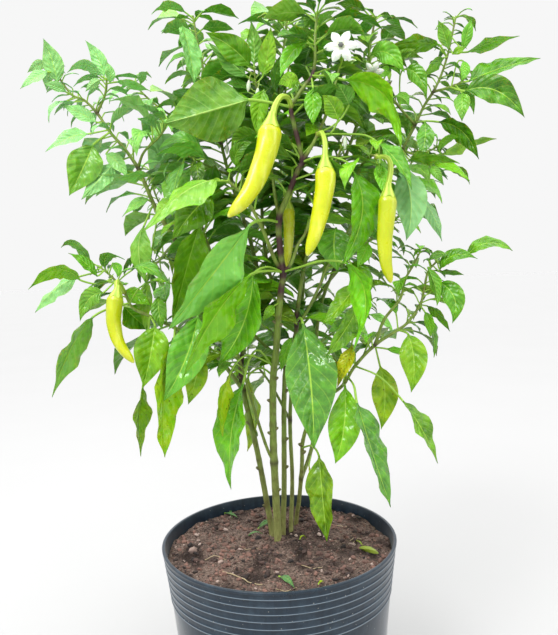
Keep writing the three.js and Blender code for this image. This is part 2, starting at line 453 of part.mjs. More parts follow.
// The leaves that the photograph shows plainly: the leafy stem, the face that the viewer sees, the width
// seen in pixels, and the points [column, row, nearer]. The last three are the blade's base, middle and tip.
// Those before them run along the leaf stalk from the branch.
const shownLeaves = [
  ["front", "under", 60, [[291, 107, 50], [272, 103, 58], [248, 100, 62], [206, 112, 80], [163, 124, 92]]],
  ["front", "top", 38, [[280, 222, 39], [265, 220, 60], [250, 225, 74], [208, 280, 96], [168, 330, 108]]],
  ["front", "top", 26, [[283, 272, 32], [266, 271, 56], [250, 275, 66], [212, 320, 80], [182, 380, 92]]],
  ["front", "top", 36, [[283, 272, 32], [267, 267, 46], [253, 275, 54], [243, 325, 62], [217, 366, 66]]],
  ["front", "top", 10, [[278, 302, 25], [274, 306, 34], [269, 312, 38], [262, 322, 40]]],
  ["front", "top", 29,
    [[302, 162, 46], [321, 156, 60], [345, 161, 72], [353, 172, 76], [362, 214, 82], [341, 266, 88]]],
  ["front", "top", 13,
    [[318, 134, 56], [342, 134, 60], [364, 135, 64], [376, 141, 66], [398, 163, 68], [412, 190, 70]]],
  ["front", "top", 25, [[312, 76, 46], [328, 76, 60], [345, 80, 68], [387, 98, 84], [401, 150, 94]]],
  ["front", "under", 20, [[318, 134, 56], [338, 122, 60], [349, 105, 58], [344, 94, 62], [337, 83, 66]]],
  ["front", "top", 17, [[311, 78, 46], [313, 88, 60], [313, 107, 66], [313, 126, 68]]],
  ["front", "top", 19, [[318, 134, 56], [330, 134, 68], [338, 120, 74], [332, 105, 80], [322, 95, 84]]],
  ["front", "top", 15, [[303, 87, 48], [298, 82, 54], [288, 80, 60], [278, 85, 64]]],
  ["front", "top", 14, [[315, 45, 39], [306, 43, 50], [291, 54, 56], [280, 78, 60]]],
  ["front", "top", 19,
    [[283, 272, 32], [300, 267, 52], [322, 261, 70], [346, 263, 80], [366, 300, 94], [352, 353, 102]]],
  ["front", "under", 22, [[228, 181, 60], [218, 181, 66], [184, 193, 84], [141, 234, 98]]],
  ["front", "top", 38, [[214, 305, 16], [198, 315, 50], [186, 358, 66], [163, 402, 76]]],
  ["front", "top", 26,
    [[273, 370, 15], [259, 350, 24], [249, 360, 28], [243, 384, 30], [231, 438, 40], [231, 490, 46]]],
  ["front", "top", 11,
    [[273, 366, 16], [250, 355, 34], [237, 362, 40], [230, 374, 42], [221, 405, 46], [223, 437, 48]]],
  ["front", "top", 18,
    [[273, 374, 15], [262, 368, 2], [252, 372, -2], [248, 379, -4], [255, 415, -2], [247, 452, 2]]],
  ["front", "top", 14, [[246, 168, 30], [236, 166, 44], [238, 150, 52], [254, 142, 56]]],
  ["front", "top", 18, [[262, 106, 6], [264, 90, 16], [258, 112, 22], [257, 136, 24]]],
  ["front", "under", 15, [[256, 80, 6], [246, 76, 14], [228, 60, 20], [208, 42, 26]]],
  ["front", "top", 24, [[254, 68, 6], [250, 66, 12], [231, 47, 18], [205, 32, 26]]],
  ["front", "under", 17, [[254, 68, 6], [254, 64, 4], [254, 44, 4], [251, 20, 8]]],
  ["front", "top", 17, [[256, 84, 6], [263, 76, 4], [268, 52, 6], [271, 26, 12]]],
  ["front", "top", 8, [[258, 94, 6], [250, 88, 2], [238, 84, 0], [225, 83, 0]]],

  ["left", "top", 28, [[175, 328, 26], [174, 340, 50], [164, 400, 66], [165, 458, 72]]],
  ["left", "top", 34, [[150, 316, 33], [155, 326, 44], [150, 358, 54], [143, 388, 58]]],
  ["left", "top", 10, [[150, 316, 33], [147, 350, 36], [143, 386, 38], [139, 420, 42], [141, 457, 44]]],
  ["left", "top", 22, [[200, 340, 14], [200, 352, 24], [196, 378, 30], [188, 405, 34]]],
  ["left", "top", 18, [[113, 282, 42], [103, 293, 52], [88, 300, 58], [80, 322, 62]]],
  ["left", "top", 20, [[126, 306, 40], [108, 309, 50], [93, 317, 58], [70, 350, 68], [52, 398, 76]]],
  ["left", "under", 20, [[154, 205, 12], [144, 226, 26], [139, 252, 34], [146, 284, 38]]],
  ["left", "top", 14, [[158, 213, 12], [147, 281, 14], [147, 308, 20], [148, 336, 24]]],
  ["left", "top", 32, [[110, 132, 8], [93, 145, 22], [83, 168, 32], [69, 196, 38]]],
  ["left", "top", 12, [[108, 130, 8], [88, 134, 16], [68, 138, 24], [45, 152, 30]]],
  ["left", "under", 18, [[130, 157, 11], [115, 163, 22], [99, 180, 30], [81, 200, 36]]],
  ["left", "top", 14, [[118, 141, 9], [106, 154, 18], [118, 163, 26], [128, 178, 30]]],
  ["left", "top", 18, [[60, 80, 12], [57, 82, 16], [52, 60, 16], [43, 38, 20]]],
  ["left", "top", 9, [[54, 70, 12], [47, 64, 16], [38, 65, 20], [27, 73, 22]]],
  ["left", "top", 9, [[56, 74, 12], [47, 72, 22], [34, 78, 28], [20, 89, 30]]],
  ["left", "top", 9, [[74, 95, 10], [66, 92, 18], [56, 86, 24], [44, 84, 28]]],
  ["left", "top", 11, [[107, 80, 18], [101, 76, 20], [84, 64, 22], [67, 73, 28]]],
  ["left", "top", 14, [[107, 80, 18], [104, 76, 14], [98, 58, 12], [85, 40, 14]]],
  ["left", "top", 9, [[107, 78, 18], [110, 82, 22], [110, 72, 26], [106, 61, 28]]],
  ["left", "under", 8, [[107, 80, 18], [100, 80, 26], [93, 84, 30], [85, 92, 32]]],
  ["left", "top", 12, [[104, 124, 8], [96, 122, 12], [78, 112, 14], [61, 105, 18]]],
  ["left", "top", 8, [[107, 84, 17], [117, 82, 20], [133, 84, 24], [150, 91, 26]]],
  ["left", "top", 9, [[143, 178, 12], [150, 175, 20], [132, 176, 26], [112, 180, 30]]],
  ["left", "top", 14, [[196, 160, 4], [205, 158, 14], [181, 146, 26], [155, 156, 34]]],
  ["left", "top", 12, [[200, 162, -2], [202, 150, 0], [180, 139, 6], [158, 150, 10]]],
  ["left", "top", 9, [[152, 200, 12], [149, 200, 18], [138, 203, 22], [122, 217, 26]]],
  ["left", "top", 16, [[124, 292, 42], [124, 293, 30], [136, 296, 24], [151, 306, 20]]],
  ["left", "top", 26, [[133, 308, 38], [124, 306, 28], [134, 317, 22], [150, 330, 20]]],
  ["left", "top", 16, [[155, 318, 32], [158, 297, 36], [159, 312, 42], [162, 330, 44]]],
  ["left", "top", 15, [[113, 278, 42], [98, 284, 46], [80, 280, 50], [56, 270, 56], [28, 290, 62]]],
  ["left", "under", 12, [[104, 271, 42], [78, 277, 40], [53, 292, 42], [35, 313, 46]]],
  ["left", "top", 9, [[100, 267, 42], [91, 262, 44], [74, 243, 46], [61, 248, 50]]],
  ["left", "top", 10, [[104, 270, 42], [97, 276, 48], [84, 262, 54], [68, 253, 58]]],
  ["left", "top", 9, [[107, 273, 42], [105, 268, 50], [108, 255, 56], [125, 260, 60]]],
  ["left", "top", 9, [[110, 274, 42], [113, 263, 48], [118, 269, 54], [117, 278, 56]]],
  ["left", "top", 11, [[116, 283, 42], [125, 275, 50], [132, 270, 54], [147, 268, 60], [171, 286, 64]]],
  ["left", "top", 18, [[198, 45, -50], [182, 25, -28], [190, 55, -16], [194, 86, -10]]],

  ["middle", "top", 36, [[198, 210, 28], [212, 195, 40], [193, 212, 50], [172, 240, 54]]],
  ["middle", "top", 32, [[204, 232, 26], [208, 218, 36], [200, 224, 45], [186, 270, 56], [172, 325, 60]]],
  ["middle", "top", 50, [[296, 322, -14], [300, 318, 14], [303, 324, 30], [311, 386, 52], [314, 450, 60]]],
  ["middle", "top", 13, [[293, 345, -16], [292, 338, -4], [285, 354, 4], [281, 372, 8]]],
  ["middle", "top", 19, [[340, 246, 18], [350, 262, 44], [357, 283, 52], [342, 304, 60], [322, 325, 64]]],
  ["middle", "top", 12, [[276, 120, -50], [275, 92, -26], [277, 70, -20], [289, 46, -16]]],
  ["middle", "top", 34, [[340, 246, 18], [336, 228, 26], [334, 248, 34], [338, 272, 38]]],
  ["middle", "top", 15, [[352, 222, 22], [368, 243, 38], [364, 254, 42], [357, 268, 44]]],

  ["right", "under", 32, [[392, 166, -12], [398, 160, 30], [401, 166, 44], [411, 202, 56], [406, 241, 60]]],
  ["right", "top", 17, [[417, 122, 1], [426, 121, 14], [439, 122, 20], [463, 132, 30], [479, 160, 38]]],
  ["right", "top", 17, [[417, 122, 1], [425, 122, 28], [425, 140, 36], [420, 156, 40]]],
  ["right", "top", 10, [[402, 150, -8], [410, 160, 30], [434, 155, 38], [460, 164, 46]]],
  ["right", "top", 9, [[424, 152, 10], [431, 163, 18], [450, 167, 24], [470, 181, 30]]],
  ["right", "top", 9, [[428, 151, 11], [431, 166, 30], [437, 174, 34], [444, 185, 38]]],
  ["right", "top", 8, [[438, 146, 14], [438, 150, 20], [447, 139, 24], [460, 137, 28]]],
  ["right", "top", 6, [[438, 146, 14], [442, 155, 10], [467, 142, 10], [497, 139, 12]]],
  ["right", "top", 14, [[461, 82, 18], [469, 81, 24], [502, 68, 32], [541, 58, 40]]],
  ["right", "top", 24, [[450, 87, 14], [465, 91, 30], [497, 91, 44], [525, 118, 52]]],
  ["right", "top", 15, [[456, 85, 16], [462, 93, 28], [462, 106, 34], [462, 122, 38]]],
  ["right", "top", 16, [[447, 57, 12], [439, 45, 20], [411, 43, 26], [379, 50, 32]]],
  ["right", "top", 10, [[449, 52, 12], [468, 52, 16], [492, 42, 22], [520, 36, 28]]],
  ["right", "top", 12, [[452, 38, 12], [448, 48, 20], [444, 34, 22], [438, 20, 26]]],
  ["right", "top", 10, [[452, 38, 12], [463, 50, 22], [467, 34, 24], [472, 18, 26]]],
  ["right", "top", 7, [[450, 48, 12], [453, 54, 20], [459, 50, 24], [466, 47, 26]]],
  ["right", "top", 9, [[452, 87, 14], [457, 63, 16], [463, 61, 18], [465, 71, 21], [461, 82, 22]]],
  ["right", "top", 9, [[447, 57, 12], [443, 58, 20], [433, 66, 24], [421, 78, 28]]],
  ["right", "top", 16, [[400, 108, 10], [400, 76, 18], [406, 69, 24], [419, 77, 30], [427, 99, 34]]],
  ["right", "top", 20, [[370, 62, 22], [371, 55, 30], [388, 53, 38], [405, 73, 42]]],
  ["right", "top", 9, [[374, 68, 21], [394, 62, 26], [404, 54, 30], [416, 49, 34]]],
  ["right", "top", 9, [[376, 72, 20], [391, 70, 26], [384, 72, 32], [375, 81, 36]]],
  ["right", "under", 13, [[396, 160, -12], [421, 200, 10], [433, 216, 16], [442, 242, 20]]],
  ["right", "under", 12, [[393, 98, 14], [396, 96, 24], [404, 99, 30], [409, 106, 32]]],
  ["right", "top", 22, [[343, 385, 8], [360, 303, 28], [345, 330, 40], [325, 357, 46]]],
  ["right", "top", 32, [[343, 385, 8], [345, 386, 34], [344, 428, 50], [335, 464, 56]]],
  ["right", "top", 20, [[349, 376, 11], [354, 386, 44], [357, 403, 54], [374, 458, 70], [391, 508, 76]]],
  ["right", "top", 12, [[355, 366, 15], [380, 377, 36], [403, 401, 48], [422, 430, 56], [438, 464, 60]]],
  ["right", "top", 26, [[375, 345, 21], [380, 366, 10], [385, 396, 6], [381, 430, 8]]],
  ["right", "top", 27, [[398, 330, 25], [408, 334, 40], [414, 362, 50], [411, 393, 54]]],
  ["right", "top", 10, [[420, 305, 29], [425, 312, 36], [430, 324, 40], [430, 338, 42]]],
  ["right", "top", 7, [[420, 305, 29], [430, 320, 26], [434, 338, 28], [434, 358, 30]]],
  ["right", "top", 21, [[428, 272, 30], [440, 282, 40], [455, 300, 50], [452, 324, 52]]],
  ["right", "under", 11, [[430, 268, 30], [428, 268, 40], [436, 288, 48], [437, 306, 50]]],
  ["right", "top", 9, [[420, 305, 29], [427, 306, 20], [440, 316, 20], [450, 332, 22]]],
  ["right", "top", 13, [[437, 261, 30], [440, 269, 38], [455, 255, 44], [478, 259, 50]]],
  ["right", "top", 12, [[436, 263, 30], [466, 256, 36], [488, 243, 42], [513, 251, 48]]],
  ["right", "top", 6, [[433, 266, 30], [440, 272, 28], [452, 272, 30], [464, 275, 32]]],
  ["right", "under", 8, [[431, 269, 30], [429, 260, 34], [438, 254, 40], [449, 256, 44]]],
  ["right", "top", 14, [[355, 366, 15], [352, 346, 26], [345, 366, 36], [337, 388, 38]]],
  ["right", "top", 26, [[303, 448, -33], [312, 446, -6], [319, 456, 16], [323, 500, 34], [327, 542, 42]]],
];

// How a leaf is moved aside to keep clear of its neighbours: mm nearer the viewer at its base, middle and
// tip, and for a leaf placed by rule a turn round its branch in radians.
const asides = [
  { nearer: [0, 0, 0], turn: 0 },
  { nearer: [0, 8, 14], turn: 0.6 },
  { nearer: [0, -8, -14], turn: -0.6 },
  { nearer: [6, 20, 32], turn: 1.2 },
  { nearer: [-6, -18, -28], turn: -1.2 },
  { nearer: [12, 36, 54], turn: 1.9 },
  { nearer: [-10, -30, -46], turn: -1.9 },
  { nearer: [20, 52, 74], turn: 2.5 },
];

const bladeThickness = 1.3;
const naturalWidth = 0.4;
const foldRise = 0.28;
const sampleCount = 80;
const rootHalf = 0.55;
const largeHalf = 12;

// The half width along a blade, as a share of its widest: full near the stalk, drawn out to the tip.
const bladeOutline = (t) => Math.pow(Math.sin(Math.PI * Math.pow(t, 0.72)), 1.15);

// The curve through a blade's base, middle and tip, and its direction.
function midrib([base, middle, tip], t) {
  return base.clone().multiplyScalar((1 - t) * (1 - 2 * t))
    .addScaledVector(middle, 4 * t * (1 - t))
    .addScaledVector(tip, t * (2 * t - 1));
}

function midribDirection([base, middle, tip], t) {
  return base.clone().multiplyScalar(4 * t - 3)
    .addScaledVector(middle, 4 - 8 * t)
    .addScaledVector(tip, 4 * t - 1)
    .normalize();
}

// The rings of a leaf: left edge, upper face, right edge and lower face at each station of a large leaf,
// folded up along its midrib. A small leaf has two edges and a keel. The ring where the blade meets its stalk
// leans half way between them, and down the stalk each ring turns as little as it can from the one above.
function leafSolids(leaf) {
  const blade = leaf.points.slice(-3);
  const petiole = leaf.points.slice(0, -3);
  const large = leaf.half > largeHalf;
  const ringAt = (middle, along, [side, face], half, thick, lift) => {
    const turned = side.clone().multiplyScalar(Math.cos(leaf.roll))
      .addScaledVector(face, Math.sin(leaf.roll));
    const normal = new THREE.Vector3().crossVectors(turned, along).normalize();
    const at = (across, over) => middle.clone().addScaledVector(turned, across).addScaledVector(normal, over);
    const fold = large ? foldRise * half : 0.3 * thick;
    const ring = [at(-half, fold + lift), at(0, 0.4 * thick), at(half, fold - lift), at(0, -0.6 * thick)];
    return large ? ring : [ring[0], ring[2], ring[3]];
  };
  const stem = 0.75 + 0.03 * leaf.half;
  const acrossBlade = new THREE.Vector3().crossVectors(midribDirection(blade, 0.5), leaf.faces).normalize();
  const arriving = blade[0].clone().sub(petiole[petiole.length - 1]).normalize();
  const neck = midribDirection(blade, 0).add(arriving).normalize();
  let across = squareNear(acrossBlade, neck);
  const bladeRings = [ringAt(midrib(blade, 0.02), neck, across, stem, 1.6 * stem, 0)];
  for (const t of large ? [0.16, 0.42, 0.74] : [0.3, 0.68]) {
    const along = midribDirection(blade, t);
    const half = leaf.half * bladeOutline(t);
    const lift = 0.1 * half * Math.sin(leaf.wave + 9 * t);
    const section = squareNear(acrossBlade, along);
    bladeRings.push(ringAt(midrib(blade, t), along, section, half, bladeThickness, lift));
  }
  bladeRings.push([blade[2]]);
  const stalkRings = [];
  for (let i = petiole.length - 1; i >= 0; i--) {
    const next = i + 1 < petiole.length ? petiole[i + 1] : blade[0];
    const along = next.clone().sub(petiole[Math.max(0, i - 1)]).normalize();
    across = squareNear(across[0], along);
    const half = i === 0 ? rootHalf : stem;
    stalkRings.unshift(ringAt(petiole[i], along, across, half, 2 * half, 0));
  }
  return { whole: solid(skin([...stalkRings, ...bladeRings])), blade: solid(skin(bladeRings)) };
}

// The nearest point on the middle line of a leafy stem's branches.
function nearestOnStem(stem, place) {
  let best = null;
  for (const branch of branches.filter((one) => one.stem === stem)) {
    for (let i = 0; i <= sampleCount; i++) {
      const [p] = onBranch(branch, i / sampleCount);
      if (!best || p.distanceTo(place) < best.distanceTo(place)) best = p;
    }
  }
  return best;
}

// A leaf read from the photograph. Where it looks narrower than a real one, it is turned about its midrib.
function shownLeaf([stem, face, width, points], number, aside) {
  const places = points.map((point, i) => {
    const fromEnd = points.length - i;
    const shift = fromEnd <= 3 ? aside.nearer[3 - fromEnd] : 0;
    return seen([point[0], point[1], point[2] + shift]);
  });
  places[0] = nearestOnStem(stem, places[0]);
  const [base, middle, tip] = places.slice(-3);
  const long = base.distanceTo(middle) + middle.distanceTo(tip);
  const looks = (width * middle.distanceTo(eye)) / view.focal;
  const wide = Math.max(looks, naturalWidth * long);
  const side = draw(number, 7) < 0.5 ? -1 : 1;
  return {
    points: places,
    half: wide / 2,
    faces: eye.clone().sub(middle).normalize().multiplyScalar(face === "top" ? 1 : -1),
    roll: side * Math.acos(Math.max(0.5, looks / wide)),
    wave: 6.3 * draw(number, 8),
    isShown: true,
  };
}

// A leaf placed by rule: round its branch by the golden angle, rising on its stalk and drooping to its tip.
const goldenAngle = 2.4;
function ruledLeaf(branch, branchNumber, i, aside) {
  const [from, count, longest] = branch.leaves;
  const share = (i + 0.95) / count;
  const t = from + (1 - from) * share;
  const seed = 100 * (branchNumber + 1) + i;
  const [root, along] = onBranch(branch, t);
  const [side, over] = square(along);
  const turn = goldenAngle * i + 0.9 * draw(seed, 1) + aside.turn;
  const out = side.clone().multiplyScalar(Math.cos(turn))
    .addScaledVector(over, Math.sin(turn))
    .addScaledVector(along, 0.5)
    .addScaledVector(up, 0.15)
    .normalize();
  const heading = new THREE.Vector3(out.x, out.y, 0).addScaledVector(side, 0.1).normalize();
  const long = longest * (1.1 - 0.45 * share) * (0.8 + 0.4 * draw(seed, 2));
  const start = 0.6 * Math.asin(out.z) - 0.1 - 0.35 * draw(seed, 4);
  const end = start - 0.5 - 0.8 * draw(seed, 5);
  const step = (angle) => heading.clone().multiplyScalar(0.5 * long * Math.cos(angle))
    .addScaledVector(up, 0.5 * long * Math.sin(angle));
  const base = root.clone().addScaledVector(out, long * (0.25 + 0.2 * draw(seed, 3)));
  const middle = base.clone().add(step(start));
  return {
    points: [root, base, middle, middle.clone().add(step(end))],
    half: 0.5 * naturalWidth * long * (0.9 + 0.25 * draw(seed, 6)),
    faces: up.clone().addScaledVector(heading, 0.35),
    roll: 0.9 * (draw(seed, 9) - 0.5),
    wave: 6.3 * draw(seed, 8),
  };
}

// What stands in a leaf's way: the solids placed so far, each with its owner.
const placed = [];
function place(owner, made) {
  placed.push({ owner, solid: made, box: made.boundingBox() });
}

function tooNear(made, other, gap) {
  const box = made.boundingBox();
  for (let i = 0; i < 3; i++) {
    if (box.min[i] > other.box.max[i] + gap || other.box.min[i] > box.max[i] + gap) return false;
  }
  return made.minGap(other.solid, 2 * gap) < gap;
}

// What the photograph shows plainly. No leaf placed by rule may hang in front of it.
const shown = [];
function showPlainly(points, pixels) {
  for (const point of points) shown.push({ ...pictured(point), pixels });
}

const bladeShares = [0, 0.25, 0.5, 0.75, 1];
function hidesAnything(leaf) {
  const blade = leaf.points.slice(-3);
  return bladeShares.some((t) => {
    const own = pictured(midrib(blade, t));
    return shown.some((one) => {
      const apart = Math.hypot(own.column - one.column, own.row - one.row);
      return own.ahead < one.ahead && apart < one.pixels + 6 * Math.sin(Math.PI * t);
    });
  });
}

// Puts a leaf where it clears every other stem, fruit and bloom, and if it can also the rest of its own stem.
function grow(owner, candidates) {
  let second = null;
  for (const leaf of candidates) {
    if (!leaf.isShown && hidesAnything(leaf)) continue;
    const made = leafSolids(leaf);
    if (placed.some((other) => other.owner !== owner && tooNear(made.whole, other, clearance))) continue;
    second = second ?? made;
    if (placed.some((other) => other.owner === owner && tooNear(made.blade, other, 0.1))) continue;
    second = made;
    break;
  }
  if (second) place(owner, second.whole);
}

// Putting the plant together: branches first, then fruits and blooms, then the leaves round them.
for (const branch of branches) place(branch.stem, solid(stalk(branch.route, branch.radius, branch.sides)));
for (const pepper of peppers) {
  place(pepper.stem, solid(stalk(pepper.stalk.map(seen), [2.2, 2.9], 6)));
  place(pepper.stem, calyx(pepper));
  place(pepper.name, fruit(pepper));
  const curve = new THREE.CatmullRomCurve3(pepper.fruit.map(seen), false, "catmullrom", 0.5);
  showPlainly(curve.getPoints(8), pepper.radius);
}
for (const bloom of blooms) {
  const stalkPoints = bloom.stalk.map(seen);
  const { middle, ahead } = bloomFrame(bloom);
  stalkPoints.push(middle.clone().addScaledVector(ahead, -2.2 - clearance));
  place(bloom.stem, solid(stalk(stalkPoints, [0.9, 0.9], 4)));
  place(bloom.name, corolla(bloom));
  place(`${bloom.name}_anthers`, anthers(bloom));
  showPlainly([middle], bloom.reach);
}
shownLeaves.forEach((leaf, number) => {
  grow(leaf[0], asides.map((aside) => shownLeaf(leaf, number, aside)));
  const [base, middle, tip] = leaf[3].slice(-3).map(seen);
  showPlainly([0.2, 0.4, 0.6, 0.8].map((t) => midrib([base, middle, tip], t)), 0.35 * leaf[2]);
});
branches.forEach((branch, number) => {
  for (let i = 0; i < branch.leaves[1]; i++) {
    grow(branch.stem, asides.map((aside) => ruledLeaf(branch, number, i, aside)));
  }
});

// Potting soil, filling the pot to a little below its rim, with a plain hole for each stem.
function makeSoil() {
  const bottom = potFloor + clearance;
  const reach = (z) => innerRadius(z) - clearance;
  const rings = [0, 36, 72, 106, reach(soilLevel)];
  const outline = rings.map((r) => new THREE.Vector2(r, soilLevel));
  outline.push(new THREE.Vector2(reach(bottom), bottom), new THREE.Vector2(0, bottom));
  const turned = new THREE.LatheGeometry(outline.reverse(), potSides);
  turned.rotateX(Math.PI / 2);
  const places = turned.attributes.position;
  for (let i = 0; i < places.count; i++) {
    const x = places.getX(i);
    const y = places.getY(i);
    const bump = 1.8 * Math.sin(x / 17 + 1) * Math.cos(y / 13) + 1.2 * Math.sin((x + 2 * y) / 19);
    if (places.getZ(i) > soilLevel - 1) places.setZ(i, soilLevel + bump);
  }
  let soil = solid(turned);
  for (const { route, radius } of branches.filter((one) => one.route[0].z < soilLevel - 1)) {
    const width = radius[0] + stemHole.wider;
    const hole = new THREE.CylinderGeometry(width, width, stemHole.depth + stemHole.above, stemHole.sides);
    hole.rotateX(Math.PI / 2);
    hole.translate(route[1].x, route[1].y, soilLevel + (stemHole.above - stemHole.depth) / 2);
    soil = soil.subtract(solid(hole));
  }
  return soil;
}

// The largest of the bodies that a union leaves, with the slivers along its joins merged.
const sliver = 0.01;
function wholeOf(owner) {
  const parts = placed.filter((one) => one.owner === owner).map((one) => one.solid);
  const bodies = wasm.Manifold.union(parts).simplify(sliver).decompose();
  return bodies.sort((a, b) => b.volume() - a.volume())[0];
}

const plant = new THREE.Group();
function addPiece(name, made, color, roughness) {
  const material = new THREE.MeshStandardMaterial({ color, roughness, metalness: 0 });
  const mesh = new THREE.Mesh(geometryOf(made), material);
  mesh.name = name;
  plant.add(mesh);
}

addPiece("pot", makePot(), 0x2a3238, 0.45);
addPiece("potting_soil", makeSoil(), 0x5a4238, 0.95);
for (const stem of ["front", "left", "middle", "back", "right"]) {
  addPiece(`leafy_stem_${stem}`, wholeOf(stem), 0x5a9a22, 0.5);
}
for (const pepper of peppers) addPiece(pepper.name, wholeOf(pepper.name), 0xe8e428, 0.3);
for (const bloom of blooms) {
  addPiece(bloom.name, wholeOf(bloom.name), 0xf4f4ee, 0.6);
  addPiece(`${bloom.name}_anthers`, wholeOf(`${bloom.name}_anthers`), 0x5a5a60, 0.7);
}

export default plant;
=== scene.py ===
import bpy
import numpy as np
from mathutils import Matrix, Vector
from mathutils.kdtree import KDTree


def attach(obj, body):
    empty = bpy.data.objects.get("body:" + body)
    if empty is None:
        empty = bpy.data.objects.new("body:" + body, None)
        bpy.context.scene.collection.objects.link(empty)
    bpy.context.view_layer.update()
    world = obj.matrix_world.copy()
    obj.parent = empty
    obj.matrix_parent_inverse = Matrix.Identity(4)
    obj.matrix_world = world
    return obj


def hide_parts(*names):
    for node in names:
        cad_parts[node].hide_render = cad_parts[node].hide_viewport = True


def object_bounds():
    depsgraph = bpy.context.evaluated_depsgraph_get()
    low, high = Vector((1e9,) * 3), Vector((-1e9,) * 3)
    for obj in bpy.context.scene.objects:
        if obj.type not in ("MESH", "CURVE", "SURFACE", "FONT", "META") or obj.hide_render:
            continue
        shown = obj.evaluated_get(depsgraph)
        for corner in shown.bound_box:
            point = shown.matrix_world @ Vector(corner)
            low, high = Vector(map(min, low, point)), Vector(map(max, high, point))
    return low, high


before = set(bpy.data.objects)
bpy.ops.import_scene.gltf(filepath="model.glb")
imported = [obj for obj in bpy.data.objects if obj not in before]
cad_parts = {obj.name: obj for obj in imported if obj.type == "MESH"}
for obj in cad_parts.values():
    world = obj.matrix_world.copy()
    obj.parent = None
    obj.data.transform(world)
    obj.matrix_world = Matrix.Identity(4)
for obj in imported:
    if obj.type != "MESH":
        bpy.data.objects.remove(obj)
cad_box = [list(corner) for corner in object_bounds()]

# Viewpoint
# The photograph looks at the plant from three quarters of a metre in front of it and a little above the pot.
# The eye's place and tilt come from the ellipse that the pot's rim makes in the picture, 558 by 635 pixels.
mm = 0.001
upright = np.array([0, 0, 1.0])
rim_radius = 140 * mm
pot_height = 215 * mm
focal = 640
picture_rows = 635
eye = np.array([0, -754.1 * mm, pot_height + 319.2 * mm])
pitch, roll, yaw = np.radians([4.18, 2.05, 0.69])
sight_right = np.array([np.cos(yaw), -np.sin(yaw), 0])
level = np.array([np.sin(yaw), np.cos(yaw), 0])
sight = level * np.cos(pitch) - upright * np.sin(pitch)
sight_up = level * np.sin(pitch) + upright * np.cos(pitch)
camera = bpy.data.objects.new("camera", bpy.data.cameras.new("camera"))
camera.data.sensor_width = 36
camera.data.lens = camera.data.sensor_width * focal / picture_rows
camera_right = np.cos(roll) * sight_right - np.sin(roll) * sight_up
camera_up = np.sin(roll) * sight_right + np.cos(roll) * sight_up
placing = np.eye(4)
placing[:3] = np.column_stack([camera_right, camera_up, -sight, eye])
camera.matrix_world = Matrix(placing.tolist())
bpy.context.scene.collection.objects.link(camera)
bpy.context.scene.camera = camera

# Floor and light
# A plain pale floor under white studio light: a white surround that is brighter overhead, a soft light above
# on the left, and a weaker one at the right front, so that glossy leaves and fruits catch broad highlights.


def linear(colour):
    """An sRGB hex colour in linear light: c / 12.92 up to 0.04045, then ((c + 0.055) / 1.055)^2.4."""
    share = np.array([int(colour[i:i + 2], 16) for i in (0, 2, 4)]) / 255
    light = np.where(share <= 0.04045, share / 12.92, ((share + 0.055) / 1.055) ** 2.4)
    return (*light.tolist(), 1.0)


def join(tree, node, links):
    """Joins a node's inputs to the nodes or sockets that feed them."""
    for name, source in links.items():
        tree.links.new(source.outputs[0] if hasattr(source, "outputs") else source, node.inputs[name])


def add(tree, kind, settings={}, links={}):
    """Adds a node, sets its own properties or its inputs' values, and joins its inputs."""
    node = tree.nodes.new("ShaderNode" + kind)
    for name, value in settings.items():
        if isinstance(name, str) and hasattr(node, name):
            setattr(node, name, value)
        else:
            node.inputs[name].default_value = value
    join(tree, node, links)
    return node


def start_material(name, sockets):
    """A material of that name, its node tree and its shader, with the shader's constant values set."""
    made = bpy.data.materials.new(name)
    made.use_nodes = True
    shader = made.node_tree.nodes["Principled BSDF"]
    for socket, value in sockets.items():
        shader.inputs[socket].default_value = value
    return made, made.node_tree, shader


floor_size = 60
floor_paint, tree, shader = start_material("matt studio floor paint", {"Roughness": 0.8})
# Even enamel, with brighter and duller patches about 400 mm across where the roller went over it again.
where = add(tree, "TexCoord").outputs["Object"]
grain = add(tree, "TexNoise", {"Scale": 1 / 0.4, "Detail": 2}, {"Vector": where})
pale = add(tree, "MixRGB", {"Color1": linear("afafaf"), "Color2": linear("b2b2b2")}, {"Fac": grain})
join(tree, shader, {"Base Color": pale})
floor_mesh = bpy.data.meshes.new("floor")
corners = 0.5 * floor_size * np.array([(-1, -1, 0), (1, -1, 0), (1, 1, 0), (-1, 1, 0)])
floor_mesh.from_pydata(corners.tolist(), [], [(0, 1, 2, 3)])
floor_mesh.materials.append(floor_paint)
floor = bpy.data.objects.new("floor", floor_mesh)
bpy.context.scene.collection.objects.link(floor)

# The surround matches the floor up to 25 degrees above level, and is over three times as bright overhead.
world = bpy.data.worlds.new("white surround")
world.use_nodes = True
tree = world.node_tree
surround = tree.nodes["Background"]
surround.inputs["Color"].default_value = (1, 1, 1, 1)
direction = add(tree, "TexCoord").outputs["Object"]
height = add(tree, "SeparateXYZ", {}, {"Vector": direction}).outputs["Z"]
overhead = add(tree, "MapRange", {"From Min": 0.42, "From Max": 1, "To Min": 0.93, "To Max": 3.2},
               {"Value": height})
join(tree, surround, {"Strength": overhead})
bpy.context.scene.world = world
bpy.context.scene.view_settings.view_transform = "Standard"


def soft_light(name, place, target, size, power):
    """A square area light of a size in metres and a power in watts, at a place, that shines on a target."""
    lamp = bpy.data.objects.new(name, bpy.data.lights.new(name, "AREA"))
    lamp.data.size = size
    lamp.data.energy = power
    back = np.array(place, float) - target
    back /= np.linalg.norm(back)
    side = np.cross(upright, back)
    side /= np.linalg.norm(side)
    setting = np.eye(4)
    setting[:3] = np.column_stack([side, np.cross(back, side), back, place])
    lamp.matrix_world = Matrix(setting.tolist())
    bpy.context.scene.collection.objects.link(lamp)


plant_middle = np.array([0, 0, 0.5])
soft_light("key_light", (-0.9, -1.2, 2.1), plant_middle, 0.8, 30)
soft_light("right_light", (1.6, -1.0, 1.2), plant_middle, 0.7, 5)

